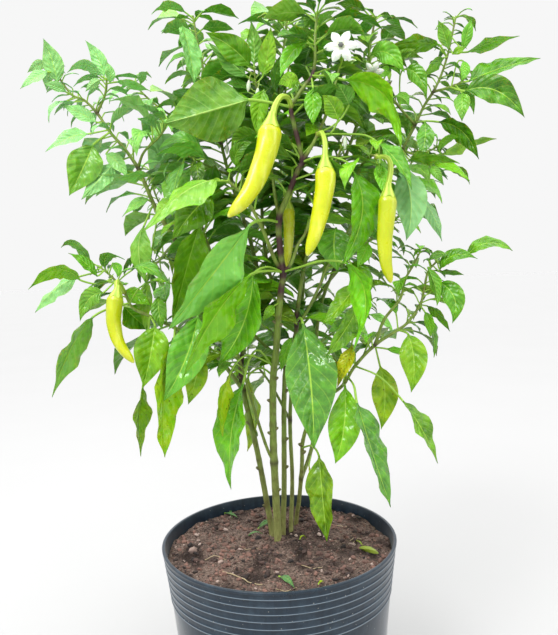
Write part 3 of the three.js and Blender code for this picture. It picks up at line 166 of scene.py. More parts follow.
# Pot
# A soft nursery pot, injection-moulded in black polypropylene: a thin flat rim, seven fine raised rings
# under it, a slightly wavy wall, and drain holes in a raised ring of the floor.
wall_taper = np.radians(6.3)
pot_wall = 2.4 * mm
pot_floor = 6 * mm
rib_count = 7
rib_pitch = 8.3 * mm
rib_rise = 1.0 * mm
rib_half = 1.0 * mm
rim_band = 3 * mm
rim_rounding = 0.7 * mm
foot_inner = 104 * mm
drain_ring = (66 * mm, 70 * mm, 100 * mm)
drain_rise = 3 * mm
drain_holes = 8
drain_radius = 6 * mm
drain_circle = 86 * mm
hole_turns = 28
pot_turns = 168
plain_rows, ringed_rows, inner_rows = 14, 118, 24
wall_wave = 0.35 * mm
wave_below_rim = 40 * mm


def skin_rings(rings, starts=None, ends=None):
    """Closed skins over stacked rings (how many, rows, points round, 3), with a fan to a pole at each end.

    A pole that isn't given is the middle of its ring. Faces are turned over if the volume is negative.
    Returns the points (the rings, then the first poles, then the last ones), the faces of four corners, and
    those of three.
    """
    starts = rings[:, 0].mean(1) if starts is None else starts
    ends = rings[:, -1].mean(1) if ends is None else ends
    grid = np.arange(rings[..., 0].size).reshape(rings.shape[:3])
    beside = np.roll(grid, -1, 2)
    quads = np.stack([grid[:, :-1], beside[:, :-1], beside[:, 1:], grid[:, 1:]], -1).reshape(-1, 4)
    first = np.broadcast_to(grid.size + np.arange(len(rings))[:, None], grid[:, 0].shape)
    fans = [np.stack([beside[:, 0], grid[:, 0], first], -1),
            np.stack([grid[:, -1], beside[:, -1], first + len(rings)], -1)]
    triangles = np.concatenate([fan.reshape(-1, 3) for fan in fans])
    points = np.concatenate([rings.reshape(-1, 3), starts, ends])
    a, b, c, d = (points[quads[:, i]] for i in range(4))
    volume = np.sum(a * (np.cross(b, c) + np.cross(c, d)))
    e, f, g = (points[triangles[:, i]] for i in range(3))
    if volume + np.sum(e * np.cross(f, g)) < 0:
        quads, triangles = quads[:, ::-1], triangles[:, ::-1]
    return points, quads, triangles


def new_piece(name, skin, materials, which=None, uv=None, look=None, crease=50):
    """A shaded mesh object from a skin, with a material for each face, and a UV and a look for each point.

    A look is four numbers that the piece's materials read. Edges sharper than crease degrees stay sharp.
    """
    points, quads, triangles = skin
    mesh = bpy.data.meshes.new(name)
    mesh.from_pydata(points.tolist(), [], quads.tolist() + triangles.tolist())
    for material in materials:
        mesh.materials.append(material)
    if which is not None:
        mesh.polygons.foreach_set("material_index", which.astype(np.int32))
    if uv is not None:
        corner_points = np.zeros(len(mesh.loops), np.int32)
        mesh.loops.foreach_get("vertex_index", corner_points)
        mesh.uv_layers.new(name="along").data.foreach_set("uv", uv[corner_points].astype(np.float32).ravel())
    if look is not None:
        attribute = mesh.attributes.new("look", "FLOAT_COLOR", "POINT")
        attribute.data.foreach_set("color", look.astype(np.float32).ravel())
    mesh.polygons.foreach_set("use_smooth", np.ones(len(mesh.polygons), bool))
    mesh.set_sharp_from_angle(angle=np.radians(crease))
    mesh.update()
    piece = bpy.data.objects.new(name, mesh)
    bpy.context.scene.collection.objects.link(piece)
    return piece


def wall_radius(z):
    """The wall's outer radius at a height, without its rings: the rim's less the taper below the rim."""
    return rim_radius - rib_rise - (pot_height - z) * np.tan(wall_taper)


def pot_profile():
    """Radius and height from the middle of the underside out, up, over the rim and back down inside."""
    ringed_from = pot_height - (rib_count + 1) * rib_pitch
    lower = np.linspace(0, ringed_from, plain_rows)[1:-1]
    upper = np.linspace(ringed_from, pot_height - rim_band, ringed_rows)
    heights = np.concatenate([lower, upper])
    rib_heights = pot_height - rib_pitch * np.arange(1, rib_count + 1)
    ribs = rib_rise * np.exp(-((heights[:, None] - rib_heights) / rib_half) ** 2).sum(1)
    top, lip = pot_height, rim_rounding
    inside = np.linspace(pot_height - lip, pot_floor, inner_rows)
    flat, near, far = drain_ring
    outline = [(flat / 2, 0), (flat, 0), (near, drain_rise), ((near + far) / 2, drain_rise),
               (far, drain_rise), (foot_inner, 0), (wall_radius(0) - lip, 0), (wall_radius(0), lip)]
    outline += list(zip(wall_radius(heights) + ribs, heights))
    outline += [(rim_radius - 0.3 * lip, top - rim_band), (rim_radius, top - rim_band + 0.5 * lip),
                (rim_radius, top - lip), (rim_radius - 0.3 * lip, top - 0.3 * lip), (rim_radius - lip, top),
                (wall_radius(top) - pot_wall + lip, top),
                (wall_radius(top) - pot_wall + 0.2 * lip, top - 0.4 * lip)]
    outline += list(zip(wall_radius(inside) - pot_wall, inside))
    outline += [(far, pot_floor), (near, pot_floor), (flat / 2, pot_floor)]
    return np.array(outline)


pot_plastic, tree, shader = start_material(
    "moulded black polypropylene", {"IOR": 1.49, "Specular IOR Level": 0.4, "Sheen Weight": 0.3,
                                    "Sheen Roughness": 0.3})
# The mould's flow leaves faint upright streaks about 5 mm apart. Ring crests have a painted highlight.
# Dust settles in pale specks, drawn 1.5 mm wide.
where = add(tree, "TexCoord").outputs["Object"]
flow = add(tree, "Mapping", {"Scale": (1 / (5 * mm), 1 / (5 * mm), 1 / (80 * mm))}, {"Vector": where})
streaks = add(tree, "TexNoise", {"Scale": 1, "Detail": 3}, {"Vector": flow})
scuffs = add(tree, "TexNoise", {"Scale": 1 / (30 * mm), "Detail": 6, "Roughness": 0.7}, {"Vector": where})
dust = add(tree, "TexVoronoi", {"Scale": 1 / (7 * mm)}, {"Vector": where})
specks = add(tree, "MapRange", {"From Min": 0.10, "From Max": 0.05, "To Max": 0.55}, {"Value": dust})
blacks = add(tree, "MixRGB", {"Color1": linear("0c151e"), "Color2": linear("233544")}, {"Fac": streaks})
height = add(tree, "SeparateXYZ", {}, {"Vector": where}).outputs["Z"]
ring_turn = add(tree, "Math", {"operation": "MULTIPLY_ADD", 1: -1 / rib_pitch,
                               2: pot_height / rib_pitch + 0.5}, {0: height})
on_ring = add(tree, "Math", {"operation": "PINGPONG", 1: 0.5}, {0: ring_turn})
# Painted highlight: a pale line on the outer crest of each ring below the rim.
crest = add(tree, "MapRange", {"From Min": 0.43, "From Max": 0.49, "To Max": 0.7}, {"Value": on_ring})
half_count = rib_count / 2
ringed = add(tree, "Math", {"operation": "COMPARE", 1: half_count + 1, 2: half_count}, {0: ring_turn})
flat = add(tree, "Mapping", {"Scale": (1, 1, 0)}, {"Vector": where})
reach = add(tree, "VectorMath", {"operation": "LENGTH"}, {0: flat}).outputs["Value"]
untapered = add(tree, "Math", {"operation": "MULTIPLY_ADD", 1: -np.tan(wall_taper)}, {0: height, 2: reach})
outside = add(tree, "Math", {"operation": "GREATER_THAN", 1: wall_radius(0) - pot_wall / 2},
              {0: untapered})
highlit_ring = add(tree, "Math", {"operation": "MULTIPLY"}, {0: crest, 1: ringed})
painted_ring_highlight = add(tree, "Math", {"operation": "MULTIPLY"}, {0: highlit_ring, 1: outside})
ring_highlighted = add(tree, "MixRGB", {"Color2": linear("94a4b0")}, {"Color1": blacks, "Fac": painted_ring_highlight})
scuffed = add(tree, "MapRange", {"From Min": 0.5, "From Max": 0.8, "To Max": 0.6}, {"Value": scuffs})
greyed = add(tree, "MixRGB", {"Color2": linear("40525f")}, {"Color1": ring_highlighted, "Fac": scuffed})
dusted = add(tree, "MixRGB", {"Color2": linear("a9a89f")}, {"Color1": greyed, "Fac": specks})
gloss = add(tree, "MapRange", {"To Min": 0.18, "To Max": 0.45}, {"Value": scuffs})
relief = add(tree, "Bump", {"Strength": 0.25, "Distance": 0.4 * mm}, {"Height": streaks})
join(tree, shader, {"Base Color": dusted, "Roughness": gloss, "Normal": relief})


def circle(turns):
    """Points (cos, sin) on a circle of radius 1 at each turn."""
    return np.stack([np.cos(turns), np.sin(turns)], -1)


def round_turns(count):
    """That many even turns round a circle, from 0."""
    return 2 * np.pi * np.arange(count) / count


radius, height = (column[:, None] for column in pot_profile().T)
turns = round_turns(pot_turns)
below_rim = np.clip((pot_height - height) / wave_below_rim, 0, 1)
soft_wave = wall_wave * below_rim * (np.sin(3 * turns + 1) + 0.6 * np.sin(7 * turns + 40 * height) - 1.6)
reach = radius + soft_wave * (radius > foot_inner)
rings = np.concatenate([reach[..., None] * circle(turns), (height + 0 * reach)[..., None]], -1)[None]
pot = new_piece("nursery_pot", skin_rings(rings, np.zeros((1, 3)), pot_floor * upright[None]), [pot_plastic])
hole_places = drain_circle * circle(round_turns(drain_holes) + np.pi / drain_holes)
hole_rings = np.zeros((drain_holes, 2, hole_turns, 3))
hole_rings[..., :2] = hole_places[:, None, None] + drain_radius * circle(round_turns(hole_turns))
hole_rings[:, :, :, 2] = np.array([-2, 2])[:, None] * pot_floor
cutter = new_piece("drain_hole_cutter", skin_rings(hole_rings), [pot_plastic])
cut = pot.modifiers.new("drain holes", "BOOLEAN")
cut.operation = "DIFFERENCE"
cut.object = cutter
cut.solver = "EXACT"
bpy.context.view_layer.update()
drained = bpy.data.meshes.new_from_object(pot.evaluated_get(bpy.context.evaluated_depsgraph_get()))
pot.modifiers.clear()
pot.data = drained
bpy.data.objects.remove(cutter)
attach(pot, "root")
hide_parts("pot")

# Potting soil
# Dark reddish brown peat and bark compost, filled by hand to about 15 mm below the rim: a bumpy crust with
# loose granules 1 to 7 mm across, and a litter of stones, roots and straw.
soil_level = 200 * mm
clearance = 0.4 * mm
soil_rows = 84
soil_turns = 190
crumb_count = 2600
crumb_rows, crumb_around = 3, 6
stone_rows, stone_around = 9, 16


def draw(a, b):
    """A draw from 0 to 1, fixed by its seeds: the fraction of 43758.5453 sin(127.1 a + 311.7 b)."""
    return (np.sin(np.asarray(a) * 127.1 + b * 311.7) * 43758.5453) % 1


def noise(points, size, seed=0):
    """Smooth noise from 0 to 1: draws at the corners of cubes of that size, blended by 3 f^2 - 2 f^3."""
    cell, f = np.divmod(points / size, 1)
    f = f * f * (3 - 2 * f)
    total = 0
    for corner in np.ndindex(2, 2, 2):
        weight = np.prod(np.where(corner, f, 1 - f), -1)
        total = total + weight * draw((cell + corner) @ [1.0, 57.0, 113.0], seed + 0.37)
    return total


def soil_height(x, y):
    """The crust's height: two slow waves of 1.8 and 1.2 mm, and noise in lumps of 9, 4 and 2 mm."""
    flat = np.stack([x, y, np.zeros_like(x)], -1)
    slow = 1.8 * np.sin(x / (17 * mm) + 1) * np.cos(y / (13 * mm)) + 1.2 * np.sin((x + 2 * y) / (19 * mm))
    bumps = sum(rise * (noise(flat, size * mm, seed) - 0.5)
                for seed, (size, rise) in enumerate([(9, 2.2), (4, 1.5), (2, 0.8)]))
    return soil_level + (slow + bumps) * mm


def dryness(points):
    """How dry the soil is at points, from 0 to 1: smooth noise in patches of 26 and 12 mm."""
    level = points * [1, 1, 0]
    return 0.6 * noise(level, 26 * mm, 4) + 0.4 * noise(level, 12 * mm, 5)


peat, tree, shader = start_material(
    "loose peat and bark compost", {"Roughness": 0.95, "Specular IOR Level": 0.25})
# Damp patches are darker. Painted shade turns the bump's hollows near black; its tops are paler, redder dry
# fibre.
where = add(tree, "TexCoord").outputs["Object"]
grains = add(tree, "TexNoise", {"Scale": 1 / (3 * mm), "Detail": 5, "Roughness": 0.75}, {"Vector": where})
look = add(tree, "Attribute", {"attribute_name": "look"})
patches = add(tree, "SeparateColor", {}, {"Color": look}).outputs["Red"]
fibres = add(tree, "TexVoronoi", {"Scale": 1 / (4 * mm)}, {"Vector": where})
# Painted shade: the colour follows the bump's height, near black in its hollows and paler on its tops.
dry = add(tree, "MapRange", {"From Min": 0.34, "From Max": 0.7}, {"Value": grains})
browns_with_hollow_shade = add(tree, "MixRGB", {"Color1": linear("140f0e"), "Color2": linear("9c8478")}, {"Fac": dry})
wet = add(tree, "MapRange", {"From Min": 0.55, "From Max": 0.25, "To Max": 0.85}, {"Value": patches})
damp = add(tree, "MixRGB", {"Color2": linear("1e1310")}, {"Color1": browns_with_hollow_shade, "Fac": wet})
flecks = add(tree, "MapRange", {"From Min": 0.16, "From Max": 0.08, "To Max": 0.8}, {"Value": fibres})
flecked = add(tree, "MixRGB", {"Color2": linear("b09c8c")}, {"Color1": damp, "Fac": flecks})
relief = add(tree, "Bump", {"Strength": 1, "Distance": 2.5 * mm}, {"Height": grains})
join(tree, shader, {"Base Color": flecked, "Normal": relief})

inside_wall = pot_wall + clearance + 2 * wall_wave
soil_reach = wall_radius(soil_level) - inside_wall
spokes = soil_reach * np.linspace(0.012, 1, soil_rows)[:, None, None] * circle(round_turns(soil_turns))
x, y = spokes[..., 0], spokes[..., 1]
surface = np.stack([x, y, soil_height(x, y)], -1)
bottom = pot_floor + clearance
foot_reach = wall_radius(bottom) - inside_wall
foot = np.insert(foot_reach * circle(round_turns(soil_turns)), 2, bottom, axis=1)
crown = np.array([[0, 0, float(soil_height(np.zeros(1), np.zeros(1))[0])]])
skin = skin_rings(np.concatenate([surface, foot[None]])[None], crown, bottom * upright[None])
soil = new_piece("soil_crust", skin, [peat], look=np.outer(dryness(skin[0]), [1, 0, 0, 0]))
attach(soil, "root")
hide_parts("potting_soil")

crumb_colour, tree, shader = start_material(
    "bark and peat granules", {"Roughness": 0.9, "Specular IOR Level": 0.3})
# Each granule has its own tone: dark peat, red bark, and a few pale grains of perlite or sand.
look = add(tree, "Attribute", {"attribute_name": "look"})
tones = add(tree, "SeparateColor", {}, {"Color": look})
where = add(tree, "TexCoord").outputs["Object"]
grains = add(tree, "TexNoise", {"Scale": 1 / (1.2 * mm), "Detail": 3}, {"Vector": where})
dark = add(tree, "MixRGB", {"Color1": linear("1c1311"), "Color2": linear("956e60")},
           {"Fac": tones.outputs["Red"]})
pale = add(tree, "MixRGB", {"Color2": linear("c8b0a4")}, {"Color1": dark, "Fac": tones.outputs["Green"]})
rough = add(tree, "MixRGB", {"blend_type": "MULTIPLY", "Fac": 0.6}, {"Color1": pale, "Color2": grains})
lift = add(tree, "BrightContrast", {"Bright": 0.02}, {"Color": rough})
join(tree, shader, {"Base Color": lift})


def lumps(middles, sizes, seed, rows, around):
    """Rough grains: spheres with each point's radius times 0.8 to 1.2, stretched by sizes, then turned."""
    count = len(middles)
    one = np.arange(count)
    height = np.pi * np.arange(1, rows + 1)[:, None] / (rows + 1)
    turn = round_turns(around)
    ball = np.stack([np.sin(height) * np.cos(turn), np.sin(height) * np.sin(turn),
                     np.cos(height) + 0 * turn], -1)
    which = one[:, None, None] * 97 + np.arange(rows * around).reshape(rows, around)
    shapes = ball[None] * (0.8 + 0.4 * draw(which, seed))[..., None] * sizes[:, None, None]
    poles = np.array([[0, 0, 0.95], [0, 0, -0.95]]) * sizes[:, None]
    a, b = 2 * np.pi * draw(one, seed + 1), np.pi * draw(one, seed + 2)
    zero, whole = np.zeros(count), np.ones(count)
    spin = np.array([[np.cos(a), -np.sin(a), zero], [np.sin(a), np.cos(a), zero], [zero, zero, whole]])
    lean = np.array([[whole, zero, zero], [zero, np.cos(b), -np.sin(b)], [zero, np.sin(b), np.cos(b)]])
    turned = np.einsum("ijn,jkn->nik", spin, lean)
    shapes = np.einsum("nij,nrkj->nrki", turned, shapes) + middles[:, None, None]
    poles = np.einsum("nij,npj->npi", turned, poles) + middles[:, None]
    return skin_rings(shapes, poles[:, 0], poles[:, 1])


def per_point(rows, around, values):
    """The look of each thing, repeated for its ring points and its two poles."""
    return np.concatenate([np.repeat(values, rows * around, 0), values, values])


one = np.arange(crumb_count)
spread = (soil_reach - 2 * mm) * np.sqrt(draw(one, 5))
turns = 2 * np.pi * draw(one, 6)
grain = (0.7 + 3 * draw(one, 7) ** 5) * mm
x, y = spread * np.cos(turns), spread * np.sin(turns)
middles = np.stack([x, y, soil_height(x, y) + 0.35 * grain], -1)
shapes = [1 + 0.5 * draw(one, 8), 0.7 + 0.3 * draw(one, 9), 0.5 + 0.3 * draw(one, 10)]
sizes = grain[:, None] * np.stack(shapes, -1)
dry = np.clip(draw(one, 11) * (2.6 * dryness(middles) - 0.3), 0, 1)
tones = np.stack([dry, (draw(one, 12) > 0.95) * 0.9, 0 * grain, 1 + 0 * grain], -1)
crumbs = new_piece("soil_granules", lumps(middles, sizes, 13, crumb_rows, crumb_around), [crumb_colour],
                   look=per_point(crumb_rows, crumb_around, tones), crease=35)
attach(crumbs, "root")

picture_centre = np.array([279, 317.5])
tilt = np.array([[np.cos(roll), -np.sin(roll)], [np.sin(roll), np.cos(roll)]])


def rays(spots):
    """The direction from the eye through each picture spot (column, row): ahead + right u - up v."""
    u, v = np.moveaxis((np.asarray(spots, float)[..., :2] - picture_centre) @ tilt.T, -1, 0)
    return sight * focal + sight_right * u[..., None] - sight_up * v[..., None]


def on_soil(spots):
    """The soil's points at picture spots: each ray cut at the soil's level, then set on the crust."""
    ray = rays(spots)
    level_points = eye + ray * ((soil_level - eye[2]) / ray[..., 2])[..., None]
    x, y = level_points[..., 0], level_points[..., 1]
    return np.stack([x, y, soil_height(x, y)], -1)


# Stones and clods: column, row, mm across, and share of pale grey.
stones = [(193, 553, 11, 0.6), (236, 527, 8, 0.1), (268, 575, 10, 0.0), (352, 556, 9, 0.0),
          (311, 580, 5, 0.1), (212, 540, 4, 0.3), (330, 574, 5, 0.05), (248, 560, 4, 0.2)]
stone_look = np.array([(0.15 + pale, pale, 0, 1) for _, _, _, pale in stones])
stone_sizes = np.outer([size for _, _, size, _ in stones], [0.5, 0.42, 0.3]) * mm
stone_places = on_soil([(c, r) for c, r, _, _ in stones]) + upright * stone_sizes[:, 2:] * 0.5
pebbles = new_piece("stones_and_clods", lumps(stone_places, stone_sizes, 21, stone_rows, stone_around),
                    [crumb_colour], look=per_point(stone_rows, stone_around, stone_look), crease=80)
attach(pebbles, "root")


def curve(points, places):
    """A smooth path through points, at places counted in points from the first.

    Between points 1 and 2 it is half of 2 p1 + (p2 - p0) u + (2 p0 - 5 p1 + 4 p2 - p3) u^2
    + (3 p1 - p0 - 3 p2 + p3) u^3, and each end is carried on straight.
    """
    points = np.asarray(points, float)
    padded = np.concatenate([[2 * points[0] - points[1]], points, [2 * points[-1] - points[-2]]])
    i = np.clip(places.astype(int), 0, len(points) - 2)
    u = (places - i)[:, None]
    p0, p1, p2, p3 = (padded[i + k] for k in range(4))
    return 0.5 * (2 * p1 + (p2 - p0) * u + (2 * p0 - 5 * p1 + 4 * p2 - p3) * u ** 2
                  + (3 * p1 - p0 - 3 * p2 + p3) * u ** 3)


def unit(vectors):
    """Vectors scaled to a length of one."""
    return vectors / np.linalg.norm(vectors, axis=-1, keepdims=True)


def square_to(wanted, along):
    """The direction square to a path nearest to a wanted one: that one less its part along the path."""
    return unit(wanted - np.sum(wanted * along, -1, keepdims=True) * along)


def set_round(middles, side, over, radii, turn):
    """Rings (1, rows, round, 3): middles + side radius cos(turn) + over radius sin(turn)."""
    across, up = radii * np.cos(turn), radii * np.sin(turn)
    return (middles + side * across[..., None] + over * up[..., None])[None]


def tube(path, radii, around):
    """Rings (1, rows, around, 3) of a bar along a path, each square to it and turned as little as possible.

    Radii are one for each row, or one for each row and point round.
    """
    along = unit(np.gradient(path, axis=0))
    side = np.array([1.0, 0, 0])
    if abs(side @ along[0]) > 0.95:
        side = np.array([0, 1.0, 0])
    sides = []
    for direction in along:
        side = square_to(side, direction)
        sides.append(side)
    sides = np.array(sides)
    overs = np.cross(along, sides)
    radii = np.asarray(radii).reshape(len(path), -1)
    return set_round(path[:, None], sides[:, None], overs[:, None], radii, round_turns(around))


def join_skins(skins):
    """Several skins as one: the points end to end, and each skin's faces counted on from those before."""
    counts = np.cumsum([0] + [len(points) for points, _, _ in skins])
    return (np.concatenate([points for points, _, _ in skins]),
            np.concatenate([quads + n for (_, quads, _), n in zip(skins, counts)]),
            np.concatenate([triangles + n for (_, _, triangles), n in zip(skins, counts)]))


straw, tree, shader = start_material("dry straw and root fibre", {"Roughness": 0.7})
# Dry stalks have a pale buff skin with finer, darker lengths where it has weathered.
where = add(tree, "TexCoord").outputs["Object"]
weather = add(tree, "TexNoise", {"Scale": 1 / (4 * mm), "Detail": 4}, {"Vector": where})
buff = add(tree, "MixRGB", {"Color1": linear("7a6648"), "Color2": linear("cdbd98")}, {"Fac": weather})
join(tree, shader, {"Base Color": buff})
# Straws and roots: picture spots along each, then its radius in mm.
straws = [([(221, 572), (235, 576), (250, 582), (262, 587)], 0.6),
          ([(350, 541), (354, 539), (358, 542)], 0.5),
          ([(352, 544), (357, 540), (363, 541)], 0.4), ([(205, 560), (214, 557), (226, 560)], 0.4),
          ([(300, 566), (311, 570), (322, 568)], 0.45), ([(240, 545), (249, 549), (259, 547)], 0.35),
          ([(330, 524), (341, 528), (349, 526)], 0.35), ([(276, 590), (286, 592), (297, 588)], 0.4)]
straw_rows, straw_around = 14, 8
skins = []
for spots, radius in straws:
    places = np.linspace(0, len(spots) - 1, straw_rows)
    path = on_soil(curve(spots, places))
    path[:, 2] += (0.9 + 0.6 * np.sin(2 * places)) * mm
    skins.append(skin_rings(tube(path, radius * mm * (1 + 0.15 * np.sin(9 * places)), straw_around)))
fibres = new_piece("straws_and_roots", join_skins(skins), [straw])
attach(fibres, "root")

# Stems
# Five soft woody stems rise close together and fork again and again. Their skin is olive and corky at the
# foot and green above, with faint ribs, purple-brown rings at the forks, and the scars of dropped leaves.
# Each branch: its stem, its radius at the foot and tip in mm, the leaves along it (share of its length where
# they start, how many, length in mm of the largest), and its points (column, row, mm nearer).
branches = [
    ("front", (4.8, 1.4), (0.5, 4, 62), [
        (278, 542, -14.7), (276, 500, -8), (274, 462, 0), (273, 430, 6), (273, 380, 14), (276, 350, 18),
        (278, 320, 22), (281, 290, 28), (283, 272, 32), (280, 250, 36), (279, 219, 40), (288, 195, 43),
        (298, 170, 46), (302, 162, 46), (299, 145, 48), (293, 120, 50), (291, 107, 50), (297, 97, 50),
        (305, 85, 48), (312, 76, 46), (315, 60, 42), (315, 40, 38), (317, 12, 30)]),
    ("front", (1.9, 1.2), (0.5, 2, 55), [
        (274, 462, 0), (267, 448, 6), (256, 415, 10), (247, 384, 12), (238, 356, 14), (226, 330, 14),
        (214, 305, 16)]),
    ("front", (2.4, 1.2), (0.4, 3, 62), [
        (283, 272, 32), (275, 260, 38), (262, 228, 48), (250, 205, 54), (238, 190, 58), (228, 181, 60)]),
    ("front", (2.2, 1.1), (0.45, 3, 62), [
        (283, 272, 32), (291, 264, 40), (298, 245, 44), (306, 232, 46), (318, 200, 50), (330, 172, 54),
        (342, 148, 54)]),
    ("front", (2.2, 1.0), (0.4, 3, 48), [
        (302, 162, 46), (310, 149, 52), (318, 134, 56), (327, 112, 50), (333, 92, 46), (339, 70, 46),
        (343, 58, 48)]),
    ("front", (2.0, 1.0), (0.35, 3, 52), [
        (279, 219, 40), (275, 196, 24), (271, 165, 14), (266, 130, 8), (261, 104, 6), (256, 84, 6),
        (254, 68, 6)]),
    ("left", (3.8, 1.2), (0.42, 5, 66), [
        (272, 535, -36.5), (266, 498, -34), (258, 455, -28), (250, 420, -22), (243, 390, -18),
        (241, 362, -16), (250, 325, -30), (257, 308, -40), (259, 280, -52), (250, 240, -60),
        (238, 203, -54), (229, 175, -44), (221, 143, -38), (214, 112, -40), (206, 80, -46), (198, 45, -50),
        (193, 16, -50)]),
    ("left", (2.9, 1.0), (0.3, 6, 56), [
        (241, 362, -16), (232, 345, -5), (205, 292, 6), (176, 241, 12), (158, 213, 12), (146, 186, 12),
        (138, 168, 12), (124, 148, 10), (110, 132, 8), (97, 113, 8), (84, 100, 8), (71, 94, 10),
        (54, 70, 12)]),
    ("left", (2.5, 1.0), (0.35, 4, 52), [
        (243, 390, -18), (222, 362, 0), (200, 340, 14), (175, 328, 26), (150, 316, 33), (133, 308, 38),
        (124, 292, 42), (113, 278, 42), (100, 267, 42)]),
    ("left", (1.6, 0.9), (0.3, 3, 40), [
        (138, 168, 12), (144, 152, 22), (160, 136, 34), (168, 122, 40)]),
    ("left", (1.6, 1.0), (0.4, 2, 32), [
        (97, 113, 8), (105, 95, 14), (107, 78, 18)]),
    ("left", (2.0, 0.9), (0.2, 4, 52), [
        (221, 143, -38), (200, 128, -46), (172, 116, -48), (150, 100, -46), (134, 84, -42)]),
    ("left", (1.8, 0.9), (0.25, 3, 56), [
        (229, 175, -44), (212, 168, -22), (196, 160, 4), (184, 154, 22)]),
    ("left", (1.8, 0.9), (0.3, 3, 60), [
        (176, 241, 12), (166, 252, -24), (158, 262, -58), (150, 268, -86)]),
    ("middle", (3.6, 1.2), (0.42, 4, 62), [
        (283, 532, -44.5), (284, 490, -38), (284, 440, -30), (284, 400, -25), (286, 366, -20),
        (293, 345, -16), (296, 322, -14), (284, 303, -28), (270, 275, -44), (264, 240, -52),
        (262, 200, -56), (268, 160, -56), (276, 120, -50), (280, 80, -42), (284, 45, -36), (288, 15, -30)]),
    ("middle", (2.6, 1.1), (0.28, 4, 62), [
        (296, 322, -14), (301, 285, -12), (308, 250, -10), (318, 220, -12), (334, 186, -16),
        (348, 150, -18), (358, 120, -16), (364, 90, -12), (368, 60, -8), (372, 35, -4), (376, 16, 0)]),
    ("middle", (2.2, 1.0), (0.3, 4, 62), [
        (296, 322, -14), (305, 315, -6), (320, 285, 6), (327, 268, 12), (340, 246, 18), (352, 222, 22),
        (360, 200, 26)]),
    ("middle", (2.2, 1.0), (0.3, 4, 62), [
        (286, 366, -20), (272, 352, -17), (251, 332, -6), (235, 312, 4), (222, 285, 12), (212, 255, 20),
        (204, 232, 26), (198, 210, 28)]),
    ("back", (3.0, 1.2), (0.4, 6, 66), [
        (291, 530, -49.8), (292, 495, -55), (292, 470, -58), (290, 420, -62), (293, 370, -70),
        (300, 320, -86), (304, 270, -104), (300, 210, -118), (290, 150, -122), (285, 100, -116),
        (290, 60, -106), (296, 25, -98)]),
    ("back", (2.2, 1.0), (0.25, 6, 64), [
        (293, 370, -70), (270, 330, -100), (235, 290, -128), (200, 255, -140), (172, 225, -142),
        (156, 196, -136), (150, 170, -128)]),
    ("back", (2.2, 1.0), (0.25, 6, 64), [
        (300, 320, -86), (330, 280, -118), (365, 240, -136), (392, 205, -140), (408, 172, -134),
        (416, 146, -126)]),
    ("back", (2.0, 1.0), (0.25, 5, 64), [
        (304, 270, -104), (298, 245, -146), (288, 205, -180), (280, 165, -196), (276, 130, -200)]),
    ("back", (1.9, 1.0), (0.3, 4, 64), [
        (290, 420, -62), (268, 380, -104), (242, 350, -140), (218, 326, -162)]),
    ("back", (1.9, 1.0), (0.3, 4, 64), [
        (293, 370, -70), (318, 345, -112), (346, 322, -146), (372, 300, -164)]),
    ("back", (1.8, 1.0), (0.25, 5, 58), [
        (290, 150, -122), (252, 112, -136), (222, 84, -138), (200, 58, -132)]),
    ("back", (1.8, 1.0), (0.25, 5, 58), [
        (285, 100, -116), (326, 82, -128), (366, 66, -130), (398, 52, -124)]),
    ("right", (3.0, 1.1), (0.5, 4, 46), [
        (296, 525, -65.4), (299, 500, -54), (301, 478, -44), (302, 462, -38), (303, 440, -30),
        (312, 415, -16), (328, 397, -2), (343, 385, 8), (355, 366, 15), (375, 345, 21), (398, 330, 25),
        (408, 322, 27), (420, 305, 29), (424, 290, 30), (428, 272, 30), (437, 261, 30)]),
    ("right", (2.0, 0.9), (0.3, 3, 40), [
        (375, 345, 21), (384, 320, 26), (400, 299, 31), (405, 280, 33), (414, 264, 34), (420, 252, 34)]),
    ("right", (2.6, 1.0), (0.4, 5, 58), [
        (301, 478, -44), (308, 460, -52), (313, 440, -56), (317, 400, -58), (316, 345, -56),
        (321, 305, -52), (334, 270, -44), (360, 215, -30), (385, 178, -16), (402, 150, -8), (415, 125, 0),
        (424, 106, 4), (433, 92, 8), (440, 78, 10), (447, 57, 12), (452, 35, 12), (456, 16, 12)]),
    ("right", (1.5, 0.9), (0.4, 2, 30), [
        (433, 92, 8), (450, 87, 14), (461, 82, 18), (469, 72, 20)]),
    ("right", (1.6, 0.9), (0.3, 3, 32), [
        (402, 150, -8), (415, 154, 6), (431, 150, 12), (438, 146, 14)]),
    ("right", (2.0, 1.3), (0.3, 2, 52), [
        (360, 215, -30), (354, 192, 8), (360, 168, 42), (371, 156, 64), (380, 157, 76)]),
    ("right", (2.0, 0.9), (0.25, 3, 58), [
        (334, 270, -44), (362, 246, -70), (392, 222, -88), (418, 196, -98), (432, 170, -102)]),
    ("right", (1.6, 0.9), (0.3, 3, 44), [
        (415, 125, 0), (400, 108, 10), (388, 92, 16), (378, 76, 20), (370, 62, 22)]),
]
stem_names = ["front", "left", "middle", "back", "right"]
root_depth = 60 * mm


def seen(spots):
    """The points at spots (column, row, mm nearer than the pot's axis): each ray cut at that depth."""
    ray = rays(spots)
    nearer = np.asarray(spots, float)[..., 2] * mm
    return eye + ray * ((-nearer - eye[1]) / ray[..., 1])[..., None]


def smooth(points, count):
    """That many points at even places of the smooth path through points."""
    return curve(points, np.linspace(0, len(points) - 1, count))


routes = []
for _, _, _, points in branches:
    route = seen(points)
    if route[0, 2] < soil_level + 2 * mm:
        route = np.concatenate([[route[0] - root_depth * upright], route])
    routes.append(route)
forks = np.array([route[0] for route in routes if route[0, 2] > soil_level])
samples_per_point = 9
node_reach = 5 * mm
smooth_routes = [smooth(route, samples_per_point * (len(route) - 1) + 1) for route in routes]

stem_skin, tree, shader = start_material("olive green stem skin", {"Roughness": 0.5, "IOR": 1.42})
